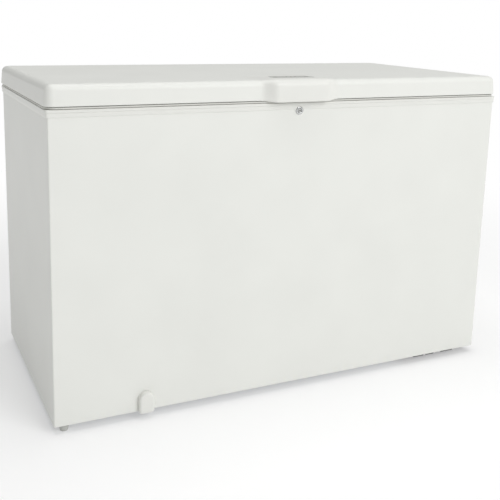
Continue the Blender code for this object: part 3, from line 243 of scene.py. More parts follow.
def rounded_path(corners, radius, steps=6):
    """A path with rounded corners: a quadratic curve from radius before each corner to radius after."""
    corners = np.asarray(corners, float)
    before = corners[:-2] - corners[1:-1]
    after = corners[2:] - corners[1:-1]
    before /= np.linalg.norm(before, axis=1)[:, None]
    after /= np.linalg.norm(after, axis=1)[:, None]
    t = np.linspace(0.0, 1.0, steps + 1)[None, :, None]
    enter, middle, leave = (corners[1:-1, None] + radius * before[:, None], corners[1:-1, None],
                            corners[1:-1, None] + radius * after[:, None])
    bends = (1 - t) ** 2 * enter + 2 * t * (1 - t) * middle + t**2 * leave
    return np.concatenate((corners[:1], bends.reshape(-1, 3), corners[-1:]))


def carve(piece, cutters):
    """The piece with closed cutter meshes taken out of it by an exact Boolean, applied at once."""
    for cutter in cutters:
        change = piece.modifiers.new("carve", "BOOLEAN")
        change.operation = "DIFFERENCE"
        change.solver = "EXACT"
        change.object = cutter
        graph = bpy.context.evaluated_depsgraph_get()
        carved = bpy.data.meshes.new_from_object(piece.evaluated_get(graph))
        piece.modifiers.clear()
        old = piece.data
        carved.name = old.name
        piece.data = carved
        bpy.data.meshes.remove(old)
        bpy.data.objects.remove(cutter)
    piece.data.shade_smooth()
    piece.data.set_sharp_from_angle(angle=np.radians(35.0))
    return piece


print("surface helpers ready")

# %% [markdown]
# ## Finishes
#
# A freezer is mostly two whites: a powder-coated steel skin and moulded
# plastic. They differ by texture more than by colour. The coating has a soft
# orange peel a couple of millimetres across, the mouldings a fine spark-eroded
# grain. Each pattern is driven by Object coordinates in metres, so its scale
# is one over its real size. One small function adds a node with its settings.

# %% Colour and node helpers
def linear(colour):
    """Linear RGBA of an sRGB hex colour: each channel over 12.92 when dark, otherwise a 2.4 power curve."""
    channel = np.array([int(colour[i:i + 2], 16) for i in (0, 2, 4)]) / 255.0
    curve = np.where(channel <= 0.04045, channel / 12.92, ((channel + 0.055) / 1.055) ** 2.4)
    return (*curve.tolist(), 1.0)


def per_mm(size):
    """Scale of a pattern whose features are this many millimetres across, on coordinates in metres."""
    return 1000.0 / size


def node(tree, kind, sockets=None, **settings):
    """Add a node: settings are its own properties, sockets its inputs, each a value or a node's output."""
    made = tree.nodes.new(kind)
    for name, value in settings.items():
        setattr(made, name, value)
    for name, value in (sockets or {}).items():
        if isinstance(value, bpy.types.NodeSocket):
            tree.links.new(value, made.inputs[name])
        else:
            made.inputs[name].default_value = value
    return made


def blank(name):
    """A new material with only its shader and output, and the Object coordinates to drive its patterns."""
    material = bpy.data.materials.new(name)
    material.use_nodes = True
    tree = material.node_tree
    shader = tree.nodes["Principled BSDF"]
    place = node(tree, "ShaderNodeTexCoord").outputs["Object"]
    return material, tree, shader, place


def grained(name, light, dark, rough, grain_mm, depth_mm, patch_mm=180.0, metallic=0.0, spread=0.06,
            coat=0.0):
    """A finish with two near colours in wide patches, a fine grain in its bump, and varied roughness."""
    material, tree, shader, place = blank(name)
    patch = node(tree, "ShaderNodeTexNoise", {"Vector": place, "Scale": per_mm(patch_mm), "Detail": 2.0})
    colour = node(tree, "ShaderNodeMix", {0: patch.outputs["Fac"], 6: linear(light), 7: linear(dark)},
                  data_type="RGBA")
    grain = node(tree, "ShaderNodeTexNoise", {"Vector": place, "Scale": per_mm(grain_mm), "Detail": 3.0})
    gloss = node(tree, "ShaderNodeMapRange", {"Value": grain.outputs["Fac"], "To Min": rough - spread,
                                              "To Max": rough + spread})
    bump = node(tree, "ShaderNodeBump", {"Height": grain.outputs["Fac"], "Strength": 0.6,
                                         "Distance": depth_mm / 1000.0})
    tree.links.new(colour.outputs[2], shader.inputs["Base Color"])
    tree.links.new(gloss.outputs["Result"], shader.inputs["Roughness"])
    tree.links.new(bump.outputs["Normal"], shader.inputs["Normal"])
    shader.inputs["Metallic"].default_value = metallic
    shader.inputs["Coat Weight"].default_value = coat
    shader.inputs["Coat Roughness"].default_value = 0.25
    return material


# %% Whites and greys
powder_coat = grained("powder_coated_steel", "E9EAE5", "E2E3DE", 0.48, 2.2, 0.030, coat=0.08)
moulded_white = grained("moulded_white_abs", "E8E8E3", "DFE0DB", 0.42, 0.9, 0.020)
liner_white = grained("thermoformed_white_polystyrene", "E9E9E6", "E0E1DD", 0.30, 3.0, 0.030)
seal_white = grained("extruded_pvc_seal", "D9D9D3", "C8C8C2", 0.62, 1.2, 0.020)
rear_paint = grained("grey_primer_on_steel", "C3C5C1", "B2B4B1", 0.50, 2.4, 0.040)
moulded_grey = grained("moulded_grey_polypropylene", "C2C3BE", "B2B3AE", 0.48, 1.0, 0.030)
strip_grey = grained("satin_grey_polycarbonate", "BFC0BA", "B3B4AF", 0.38, 0.7, 0.010, patch_mm=60.0)
button_grey = grained("soft_touch_grey_button", "A3A4A0", "94968F", 0.55, 0.6, 0.020, patch_mm=8.0)
print("whites:", powder_coat.name, moulded_white.name, liner_white.name)

# %% Blacks, foam and bare metals
black_enamel = grained("black_stoved_enamel", "202123", "151617", 0.34, 1.6, 0.050, patch_mm=50.0)
black_plastic = grained("moulded_black_polypropylene", "2A2B2D", "1E1F20", 0.52, 0.8, 0.030, patch_mm=40.0)
black_rubber = grained("moulded_black_rubber", "242424", "161616", 0.78, 0.7, 0.060, patch_mm=12.0)
bright_nickel = grained("bright_nickel_plate", "D6D7D6", "C6C8C8", 0.18, 0.8, 0.008, patch_mm=10.0,
                        metallic=1.0)
satin_nickel = grained("satin_nickel_face", "B9BAB8", "A8A9A7", 0.50, 0.7, 0.010, patch_mm=6.0, metallic=0.5)
bracket_zinc = grained("zinc_plated_bracket_steel", "B4B7B8", "9A9EA1", 0.36, 1.5, 0.020, patch_mm=15.0,
                       metallic=0.9)
copper = grained("drawn_copper_tube", "C07A4C", "8F5534", 0.34, 1.4, 0.020, patch_mm=22.0, metallic=1.0)
print("metals:", bright_nickel.name, bracket_zinc.name, copper.name)

# %% [markdown]
# Three finishes have a pattern with cells rather than grain. The liner of such
# a freezer is aluminium sheet rolled with a stucco pattern of small smooth
# bumps. Hot-dip zinc freezes in flat spangles, each with its own brightness.
# Cut foam shows its bubbles. A Voronoi texture gives all three.

# %% Stucco, spangle and foam
def celled(name, light, dark, rough, cell_mm, depth_mm, metallic, feature="F1", by_cell=True):
    """A finish with cells of a given size: colour steps from cell to cell, or distance sets the bump."""
    material, tree, shader, place = blank(name)
    cell = node(tree, "ShaderNodeTexVoronoi", {"Vector": place, "Scale": per_mm(cell_mm)}, feature=feature)
    wide = node(tree, "ShaderNodeTexNoise", {"Vector": place, "Scale": per_mm(cell_mm * 12.0), "Detail": 2.0})
    step = node(tree, "ShaderNodeSeparateColor", {"Color": cell.outputs["Color"]}).outputs["Red"]
    colour = node(tree, "ShaderNodeMix", {0: step if by_cell else wide.outputs["Fac"], 6: linear(light),
                                          7: linear(dark)}, data_type="RGBA")
    gloss = node(tree, "ShaderNodeMapRange", {"Value": wide.outputs["Fac"], "To Min": rough - 0.07,
                                              "To Max": rough + 0.07})
    bump = node(tree, "ShaderNodeBump", {"Height": cell.outputs["Distance"], "Strength": 0.8,
                                         "Distance": depth_mm / 1000.0})
    tree.links.new(colour.outputs[2], shader.inputs["Base Color"])
    tree.links.new(gloss.outputs["Result"], shader.inputs["Roughness"])
    tree.links.new(bump.outputs["Normal"], shader.inputs["Normal"])
    shader.inputs["Metallic"].default_value = metallic
    return material


stucco = celled("stucco_embossed_aluminium", "E6E8E8", "D6D9DA", 0.36, 5.0, 0.35, 0.40, "SMOOTH_F1", False)
spangle = celled("hot_dip_zinc", "B9BDBF", "989DA1", 0.42, 9.0, 0.02, 0.85)
foam = celled("cut_polyurethane_foam", "DCCD96", "CBB97C", 0.88, 1.8, 0.40, 0.0)
print("celled:", stucco.name, spangle.name, foam.name)

# %% Lamps and coated wire
def lens(name, light, dark):
    """A small clear coloured lens: two near colours in small patches, a wet gloss and a little transmission.
    """
    material = grained(name, light, dark, 0.16, 0.5, 0.010, patch_mm=2.0, spread=0.04)
    shader = material.node_tree.nodes["Principled BSDF"]
    shader.inputs["Transmission Weight"].default_value = 0.25
    shader.inputs["IOR"].default_value = 1.49
    return material


green_lens = lens("green_acrylic_lens", "57A86B", "2F7A48")
yellow_lens = lens("yellow_acrylic_lens", "E0B64E", "B98B26")
red_lens = lens("red_acrylic_lens", "C4564B", "8F2A24")
coated_wire = grained("plastic_coated_wire", "EDEDEA", "E2E2DE", 0.28, 1.1, 0.015, patch_mm=60.0, coat=0.3)
print("lamps:", green_lens.name, yellow_lens.name, red_lens.name)

# %% [markdown]
# ## Carried-over pieces
#
# Folded sheet, brackets and hidden works are already the right shape in CAD.
# They keep their mesh and get a finish from the list above, chosen by the
# record's material slot.

# %% Finishes for the CAD nodes
BY_SLOT = {
    "white_painted_steel": powder_coat, "grey_painted_steel": rear_paint, "galvanised_steel": spangle,
    "polyurethane_foam": foam, "stucco_aluminium": stucco, "white_plastic": moulded_white,
    "copper_tube": copper, "black_enamel": black_enamel, "black_rubber": black_rubber,
    "black_plastic": black_plastic, "grey_plastic": moulded_grey, "bright_metal": bright_nickel,
    "bracket_steel": bracket_zinc, "white_pvc_seal": seal_white, "control_grey": strip_grey,
    "button_grey": button_grey, "green_lens": green_lens, "yellow_lens": yellow_lens,
    "red_lens": red_lens, "coated_wire": coated_wire}
SLOT_OF = {row["node"]: row["material_slot"] for row in frame["record"]["subparts"]}
for name, part in frame["nodes"].items():
    part.data.materials.clear()
    part.data.materials.append(BY_SLOT[SLOT_OF[name]])
print("finishes on", len(frame["nodes"]), "CAD nodes")


def stands_for(piece, *names):
    """The piece takes the place of these CAD nodes, which are hidden."""
    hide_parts(*names)
    return piece


def sizes(name):
    """Low corner, high corner, middle and half size of a CAD node's box, as arrays."""
    low, high = (np.array(corner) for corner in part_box(name))
    return low, high, (low + high) / 2, (high - low) / 2

# %% [markdown]
# ## Lid
#
# The lid's skin is one pressed sheet: a flat top, a broad rounding and sides
# that lean in a few millimetres. A profile of insets and heights carried round
# a rounded rectangle gives it. Rings just before and after each rounding keep
# the flat faces flat when the mesh is shaded smooth.

# %% Lid skin
LID_ROUND = 0.018
LID_SHEET = 0.0012
LID_LEAN = 0.003
lid_low, lid_high, lid_mid, lid_half = sizes("lid_shell")


def lid_profile(grow):
    """Lid profile from lower edge to top: a leaning side, then a quarter circle, moved inwards by grow."""
    top, edge = lid_high[2] - grow, lid_low[2]
    shoulder = lid_high[2] - LID_ROUND
    radius = LID_ROUND - grow
    side = [(grow, edge + 0.0012), (grow + 0.0002, edge + 0.004),
            (grow + LID_LEAN - 0.0003, shoulder - 0.004)]
    bend = [(LID_LEAN + LID_ROUND - (x - 0.0), z) for x, z in arc((0.0, shoulder), radius, 0.0, 90.0, 14)]
    flat = [(LID_LEAN + LID_ROUND + 0.004, top)]
    return side + bend + flat


outside = [(LID_SHEET, lid_low[2]), (0.0004, lid_low[2])] + lid_profile(0.0)
inside = lid_profile(LID_SHEET)
lid_skin = skin("lid_skin", tray(outside[::-1] + inside, lid_half[0], lid_half[1], 0.024, lid_mid[:2],
                                 0.0015),
                powder_coat, "lid", smooth=50.0)
stands_for(lid_skin, "lid_shell")
print("lid skin", len(lid_skin.data.polygons), "faces")

# %% [markdown]
# The inner panel is thermoformed: a raised middle that fits down into the
# storage well with a shallow draft, and a flat flange for the seal.

# %% Lid inner panel
panel_low, _, panel_mid, panel_half = sizes("lid_inner_panel")
WELL_X, WELL_Y = (sizes("inner_liner")[3][0], sizes("inner_liner")[3][1])
PLUG_IN = 0.0228
FLANGE_Z = lid_low[2]
plug = [(PLUG_IN + 0.060, panel_low[2] + 0.0006), (PLUG_IN + 0.058, panel_low[2] + 0.0005),
        (PLUG_IN + 0.055, panel_low[2] + 0.0001), (PLUG_IN + 0.054, panel_low[2]),
        (PLUG_IN + 0.016, panel_low[2]), (PLUG_IN + 0.0105, panel_low[2] + 0.0009),
        (PLUG_IN + 0.0075, panel_low[2] + 0.004), (PLUG_IN + 0.0015, FLANGE_Z - 0.0015),
        (PLUG_IN - 0.001, FLANGE_Z)]
plug_grid = tray(plug, WELL_X, WELL_Y, 0.032 + PLUG_IN, (0.0, 0.0), 0.006)
flange = [(0.0002, FLANGE_Z), (0.0002, FLANGE_Z + 0.0010)]
flange_grid = tray(flange, panel_half[0], panel_half[1], 0.0225, panel_mid[:2])
back = [(inset + 0.0008, height + 0.0005) for inset, height in plug[::-1]]
back_grid = tray(back, WELL_X, WELL_Y, 0.032 + PLUG_IN, (0.0, 0.0), 0.006)
inner_panel = skin("lid_inner_moulding", np.concatenate((plug_grid, flange_grid, back_grid)), liner_white,
                   "lid")
stands_for(inner_panel, "lid_inner_panel")
print("inner panel", inner_panel.dimensions[:])

# %% [markdown]
# ## Seal
#
# The seal is extruded PVC with a bellows between a magnetic strip and the foot
# that clips into the lid. Seen from the front it is a light line with a dark
# line above and below it.

# %% Lid seal
seal_low, seal_high, seal_mid, seal_half = sizes("lid_gasket")
tall = seal_high[2] - seal_low[2]
SKIRT = seal_half[1] - (lid_half[1] - 0.0042)
bellows = [(0.0, 0.0), (SKIRT + 0.002, 0.10), (SKIRT, 0.20), (SKIRT - 0.0003, 0.45), (SKIRT, 0.72),
           (SKIRT + 0.002, 0.80), (0.0002, 0.82), (0.0002, 1.0),
           (0.0198, 1.0), (0.0198, 0.70), (0.0165, 0.50), (0.0198, 0.32), (0.0198, 0.0)]
seal_profile = [(inset + 0.0001, seal_low[2] + share * tall) for inset, share in bellows]
seal = skin("lid_seal", tray(seal_profile, seal_half[0], seal_half[1], 0.020, seal_mid[:2], 0.0045),
            seal_white,
            "lid", ends="join", smooth=30.0)
stands_for(seal, "lid_gasket")
print("seal", len(seal.data.polygons), "faces")

# %% [markdown]
# ## Collar
#
# The collar clips over the sheet metal's upper edge and turns down into the
# well, where its ledge carries the baskets. Its outer lip and the two edges
# round the mouth are moulded with small radii.

# %% Rim collar
rim_low, rim_high, _, rim_half = sizes("rim_collar")
MOUTH_X, MOUTH_Y, MOUTH_CORNER = 0.604, 0.238, 0.028
LEDGE = 0.022
PLATE = 0.003
ledge_z = rim_high[2] - 0.0165
BAND = 0.0075
FLUSH = 0.0016
lip = [(FLUSH, rim_low[2]), (FLUSH - 0.0002, rim_low[2] + 0.0003),
       (FLUSH - 0.0002, rim_high[2] - BAND - 0.0008),
       (FLUSH + 0.0002, rim_high[2] - BAND - 0.0004), (0.0002, rim_high[2] - BAND),
       (0.0, rim_high[2] - BAND + 0.0004)] + [
    (0.0022 - x, z) for x, z in arc((0.0, rim_high[2] - 0.0022), 0.0022, 0.0, 90.0, 6)]
outer_rings = tray(lip, rim_half[0], rim_half[1], 0.007, (0.0, 0.0))
mouth = [(-LEDGE - 0.0012, rim_high[2])] + [
    (-LEDGE - 0.0012 + x, z) for x, z in arc((0.0, rim_high[2] - 0.0012), 0.0012, 90.0, 0.0, 4)]
mouth += [(-LEDGE, ledge_z + 0.0015), (-LEDGE + 0.0005, ledge_z + 0.0004), (-LEDGE + 0.0016, ledge_z),
          (-0.0012, ledge_z), (-0.0003, ledge_z - 0.0004), (0.0, ledge_z - 0.0014), (0.0, ledge_z - PLATE),
          (-LEDGE - PLATE, ledge_z - PLATE), (-LEDGE - PLATE, rim_high[2] - PLATE)]
mouth_rings = tray(mouth, MOUTH_X, MOUTH_Y, MOUTH_CORNER, (0.0, 0.0))
under = [(0.0047, rim_high[2] - PLATE), (0.0047, rim_low[2])]
under_rings = tray(under, rim_half[0], rim_half[1] + 0.0020, 0.0050, (0.0, 0.0), 0.0003)
rim = skin("rim_moulding", np.concatenate((outer_rings, mouth_rings, under_rings)), moulded_white, "cabinet",
           ends="join", smooth=30.0)


def box_cutter(low, high):
    """A closed box between two corners, to cut with."""
    work = bmesh.new()
    bmesh.ops.create_cube(work, size=1.0)
    middle, side = (np.array(low) + np.array(high)) / 2, np.array(high) - np.array(low)
    bmesh.ops.scale(work, verts=work.verts, vec=side.tolist())
    bmesh.ops.translate(work, verts=work.verts, vec=middle.tolist())
    mesh = bpy.data.meshes.new("cutter")
    work.to_mesh(mesh)
    work.free()
    cutter = bpy.data.objects.new("cutter", mesh)
    bpy.context.scene.collection.objects.link(cutter)
    return cutter


hook_low, hook_high, _, _ = sizes("lock_striker")
rim_slot = box_cutter((hook_low[0] - 0.004, hook_low[1] - 0.004, rim_high[2] - 0.008),
                      (hook_high[0] + 0.004, hook_high[1] + 0.004, rim_high[2] + 0.01))
lock_low, lock_high, lock_mid, lock_half = sizes("lock_cylinder")
LOCK_ROOM = 0.0004
room = lock_half[0] + LOCK_ROOM
lock_hole = box_cutter((lock_mid[0] - room, rim_low[1] - 0.01, lock_mid[2] - room),
                       (lock_mid[0] + room, rim_low[1] + 0.01, lock_mid[2] + room))
stands_for(carve(rim, [rim_slot, lock_hole]), "rim_collar")
print("collar", len(rim.data.polygons), "faces")

# %% [markdown]
# ## Grip and control strip
#
# The grip is one moulding that grows out of the lid: a thin pad on the top,
# a generous rounding, and a front wall that hangs just below the lid's edge.
# Its section is a blend of two curves, the lid's own surface and the full
# grip. The blend follows a smooth S curve near each end, so that the ends
# melt into the lid in a soft shoulder, as a moulded part's do.

# %% Grip section
grip_low, grip_high, _, grip_half = sizes("handle")
GRIP_END = 0.045
GRIP_ROUND = 0.021
FRONT_EDGE = 0.0036
lid_front = lid_low[1]
SAMPLES = 16


def straight(start, end, count):
    """(count) points evenly from start to end, both included."""
    return np.linspace(start, end, count)


rear = grip_high[1]
top, low = lid_high[2], grip_low[2]
shoulder_y = lid_front + LID_LEAN + LID_ROUND
lid_curve = np.concatenate((
    straight((rear, top), (shoulder_y + 0.002, top), 10),
    np.array(arc((shoulder_y, top - LID_ROUND), LID_ROUND, 90.0, 180.0, SAMPLES)),
    straight((lid_front + LID_LEAN - 0.0006, top - LID_ROUND - 0.006), (lid_front, lid_low[2] + 0.006), 6),
    straight((lid_front - 0.0001, lid_low[2] + 0.003), (lid_front + 0.0005, lid_low[2] + 0.0003), 8),
    straight((lid_front + 0.0006, lid_low[2]), (lid_front + 0.001, lid_low[2]), 3)))
front = grip_low[1]
pad = grip_high[2]
grip_curve = np.concatenate((
    straight((rear, pad - 0.0022), (rear - 0.0006, pad - 0.0007), 2),
    straight((rear - 0.0022, pad), (rear - 0.004, pad), 2),
    straight((rear - 0.010, pad), (front + 0.001 + GRIP_ROUND + 0.002, pad), 6),
    np.array(arc((front + 0.001 + GRIP_ROUND, pad - GRIP_ROUND), GRIP_ROUND, 90.0, 180.0, SAMPLES)),
    straight((front + 0.0004, pad - GRIP_ROUND - 0.005), (front, low + FRONT_EDGE + 0.002), 6),
    np.array(arc((front + FRONT_EDGE, low + FRONT_EDGE), FRONT_EDGE, 180.0, 270.0, 7)),
    straight((front + FRONT_EDGE + 0.001, low), (lid_front - 0.0003, low), 3)))
print("section points:", len(lid_curve), len(grip_curve))

# %% Grip along its length
across = np.concatenate((-np.cos(np.linspace(0.0, np.pi / 2, 15)) * GRIP_END - grip_half[0] + GRIP_END,
                         np.linspace(-grip_half[0] + GRIP_END, grip_half[0] - GRIP_END, 25)[1:-1],
                         np.cos(np.linspace(np.pi / 2, 0.0, 15)) * GRIP_END + grip_half[0] - GRIP_END))
beyond = np.clip((np.abs(across) - (grip_half[0] - GRIP_END)) / GRIP_END, 0.0, 1.0)
share = ((1.0 - beyond)**2 * (1.0 + 2.0 * beyond))[:, None, None]
outer = lid_curve + (grip_curve - lid_curve) * share
inner = (lid_curve + np.array((0.0010, -0.0010)))[::-1]
section = np.concatenate((outer, np.broadcast_to(inner, (len(across), *inner.shape))), axis=1)
grip_grid = np.concatenate((np.broadcast_to(across[:, None, None], (*section.shape[:2], 1)), section), axis=2)
grip = skin("grip_moulding", grip_grid, moulded_white, "lid", smooth=50.0)
print("grip", len(grip.data.polygons), "faces")


# %% Finger recess and the strip's seat
def prism_cutter(outline, low, high):
    """A closed upright prism over an outline of (x, y) points, to cut with or to keep."""
    outline = np.asarray(outline, float)
    rings = np.stack([np.column_stack((outline, np.full(len(outline), z))) for z in (low, high)])
    mesh = bpy.data.meshes.new("cutter")
    mesh.from_pydata(rings.reshape(-1, 3).tolist(), [], grid_faces(2, len(outline), "cap"))
    work = bmesh.new()
    work.from_mesh(mesh)
    bmesh.ops.recalc_face_normals(work, faces=work.faces)
    work.to_mesh(mesh)
    work.free()
    cutter = bpy.data.objects.new("cutter", mesh)
    bpy.context.scene.collection.objects.link(cutter)
    return cutter


strip_low, strip_high, strip_mid, strip_half = sizes("control_strip")
POINT = 0.011


def strip_outline(grow):
    """A long hexagon: the strip's rectangle with its two short ends drawn to a point at the front corner."""
    half_x, half_y = strip_half[0] + grow, strip_half[1] + grow
    near, far = strip_mid[1] - half_y, strip_mid[1] + half_y
    return [(-half_x + POINT, near), (half_x - POINT, near), (half_x - POINT * 0.15, near + POINT * 0.8),
            (half_x, near + POINT * 1.6), (half_x - POINT, far), (-half_x + POINT, far),
            (-half_x, near + POINT * 1.6), (-half_x + POINT * 0.15, near + POINT * 0.8)]


recess = box_cutter((-0.079, front + 0.0032, low - 0.010), (0.079, lid_front - 0.0002, low + 0.034))
seat = prism_cutter(strip_outline(0.0003), strip_low[2] - 0.0003, pad + 0.01)
wells = []
for button_name in ("temperature_button", "fast_freeze_button"):
    _, _, button_mid, _ = sizes(button_name)
    turn = np.arange(40) * np.pi / 20
    ring = np.stack((button_mid[0] + 0.0073 * np.cos(turn), button_mid[1] + 0.0073 * np.sin(turn)), axis=-1)
    wells.append(ring)
cutters = [recess, seat] + [prism_cutter(ring, lid_high[2] + 0.0002, pad + 0.01) for ring in wells]
stands_for(carve(grip, cutters), "handle")
print("grip carved:", len(grip.data.polygons), "faces")

# %% Control strip
strip = prism_cutter(strip_outline(0.0), strip_low[2], strip_high[2])
strip.name = "control_panel"
strip.data.materials.append(strip_grey)
lens_holes = []
for lamp_name in ("lamp_green", "lamp_yellow", "lamp_red"):
    _, _, lamp_mid, _ = sizes(lamp_name)
    turn = np.arange(24) * np.pi / 12
    ring = np.stack((lamp_mid[0] + 0.0025 * np.cos(turn), lamp_mid[1] + 0.0025 * np.sin(turn)), axis=-1)
    lens_holes.append(prism_cutter(ring, strip_low[2] - 0.01, pad + 0.01))
carve(strip, lens_holes + [prism_cutter(ring, strip_low[2] - 0.01, pad + 0.01) for ring in wells])
stands_for(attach(strip, "lid"), "control_strip")
print("strip", len(strip.data.polygons), "faces")

# %% Buttons and lamps
for button_name, title in (("temperature_button", "temperature_cap"),
                           ("fast_freeze_button", "fast_freeze_cap")):
    low_b, high_b, mid_b, half_b = sizes(button_name)
    radius = half_b[0]
    cap_profile = [(radius - 0.0002, low_b[2]), (radius, low_b[2] + 0.0002), (radius, high_b[2] - 0.0007)]
    cap_profile += [(radius - 0.0007 + x, z) for x, z in arc((0.0, high_b[2] - 0.0007), 0.0007, 0.0, 90.0, 5)]
    cap_profile += [(radius - 0.0016, high_b[2]), (radius - 0.0030, high_b[2] - 0.00035),
                    (radius - 0.0048, high_b[2] - 0.00045)]
    cap = turned(title, cap_profile, mid_b[:2], "Z", button_grey, button_name)
    stands_for(cap, button_name)
for lamp_name, finish in (("lamp_green", green_lens), ("lamp_yellow", yellow_lens), ("lamp_red", red_lens)):
    low_l, high_l, mid_l, half_l = sizes(lamp_name)
    radius = half_l[0]
    dome = [(radius, low_l[2]), (radius, high_l[2] - 0.0006)]
    dome += [(radius * np.cos(a), high_l[2] - 0.0006 + 0.0006 * np.sin(a)) for a in np.linspace(0.2, 1.45, 6)]
    jewel = turned(lamp_name.replace("lamp", "jewel"), dome, mid_l[:2], "Z", finish, "lid", sides=24,
                   smooth=60.0)
    stands_for(jewel, lamp_name)
print("buttons and lamps done")

# %% [markdown]
# ## Lock and drain cover
#
# The lock shows as a bright pressed ring round a dark cylinder with a keyway.
# The ring is turned on the lock's axis with a rolled edge. The drain cover is
# a small moulded scoop with a round top: its outline is carried forwards along
# a rounded profile, in front and again inside for its wall.

# %% Lock ring
ring_low, ring_high, ring_mid, ring_half = sizes("lock_escutcheon")
bore = 0.0065
outer_radius = ring_half[0]
face = ring_low[1]
roll = [(outer_radius, ring_high[1]), (outer_radius, face + 0.0022)]
roll += [(outer_radius - 0.0022 + 0.0022 * np.cos(a), face + 0.0022 - 0.0022 * np.sin(a))
         for a in np.linspace(0.2, np.pi / 2, 7)]
roll += [(bore + 0.0012, face), (bore + 0.0004, face + 0.0003), (bore, face + 0.0010), (bore, ring_high[1])]
lock_ring = turned("lock_ring", roll, (ring_mid[0], ring_mid[2]), "Y", bright_nickel, "cabinet", 56, "join")
stands_for(lock_ring, "lock_escutcheon")
print("lock ring", lock_ring.dimensions[:])

# %% Drain cover
cover_low, cover_high, cover_mid, cover_half = sizes("drain_cover")
FOOT_ROUND = 0.0085
COVER_EDGE = 0.0065
WALL = 0.0022


def arch_rings(inset, depth):
    """Rings of an arch in X and Z, each inset and at a depth in Y, round on top and at its lower corners."""
    half = (cover_half[0] - inset)[:, None]
    foot = np.maximum(FOOT_ROUND - inset, 0.003)[:, None]
    base = (cover_low[2] + inset)[:, None]
    crown = (cover_high[2] - inset)[:, None] - half
    left, right = np.radians(np.linspace(180.0, 270.0, 7)), np.radians(np.linspace(270.0, 360.0, 7))
    round_top = np.radians(np.linspace(0.0, 180.0, 29))
    x = np.concatenate((-(half - foot) + foot * np.cos(left), (half - foot) + foot * np.cos(right),
                        half * np.cos(round_top)), axis=1)
    z = np.concatenate((base + foot + foot * np.sin(left), base + foot + foot * np.sin(right),
                        crown + half * np.sin(round_top)), axis=1)
    y = np.broadcast_to(depth[:, None], x.shape)
    return np.stack((x + cover_mid[0], y, z), axis=-1)


nose, seat_y = cover_low[1], cover_high[1]
shell = [(COVER_EDGE + 0.003, nose)] + [(COVER_EDGE * (1 - np.sin(a)), nose + COVER_EDGE * (1 - np.cos(a)))
                                        for a in np.linspace(0.0, np.pi / 2, 9)]
shell += [(0.0, seat_y - 0.0028), (0.0, seat_y - 0.0006), (0.0005, seat_y), (WALL, seat_y)]
shell += [(WALL, nose + COVER_EDGE + WALL), (COVER_EDGE, nose + WALL + 0.0015),
          (COVER_EDGE + 0.003, nose + WALL)]
inset, depth = np.array(shell).T
cover = skin("drain_scoop", arch_rings(inset, depth), moulded_white, "drain_cover", smooth=50.0)
stands_for(cover, "drain_cover")
print("drain cover", cover.dimensions[:])

# %% [markdown]
# ## Feet
#
# Each foot is a screw-in glide: a tapered skirt with a flat sole and an upright
# band. The real glide also has a few ribs to turn it by and a steel stud above;
# these are not drawn.

# %% Feet
for foot_name in ("foot_front_left", "foot_front_right", "foot_rear_left", "foot_rear_right"):
    low_f, high_f, mid_f, half_f = sizes(foot_name)
    radius = half_f[0]
    profile = [(0.0085, low_f[2]), (0.0098, low_f[2] + 0.0003), (0.0107, low_f[2] + 0.0014), (0.0122, 0.0090),
               (radius - 0.0004, 0.0160), (radius, 0.0168), (radius, high_f[2] - 0.0008),
               (radius - 0.0008, high_f[2])]
    glide = turned(foot_name.replace("foot", "glide"), profile, mid_f[:2], "Z", moulded_grey, "cabinet",
                   sides=40)
    stands_for(glide, foot_name)
print("feet done")

# %% [markdown]
# ## Baskets
#
# Each basket is welded from plastic-coated wire: a thick rim, thinner hoops
# below it, and two sets of U-shaped wires that cross under the load. Two loops
# reach out over the ledge of the well and carry it. Every wire is a circle
# carried along a path of a few points with rounded corners.

# %% Wires of one basket
RIM_WIRE, HOOP_WIRE, GRID_WIRE, EAR_WIRE = 0.0025, 0.0017, 0.0014, 0.0017
TAPER = 0.008


def hoop(middle, half_x, half_y, corner, height, wire):
    """A closed rounded rectangle of wire at one height."""
    x, y = rounded_ring(np.array([half_x]), np.array([half_y]), np.array([corner]), 8)
    path = np.stack((x[0] + middle[0], y[0] + middle[1], np.full(x.shape[1], height)), axis=-1)
    return tube_grid(path, wire, (0.0, 0.0, 1.0), 10, closed=True), "join"


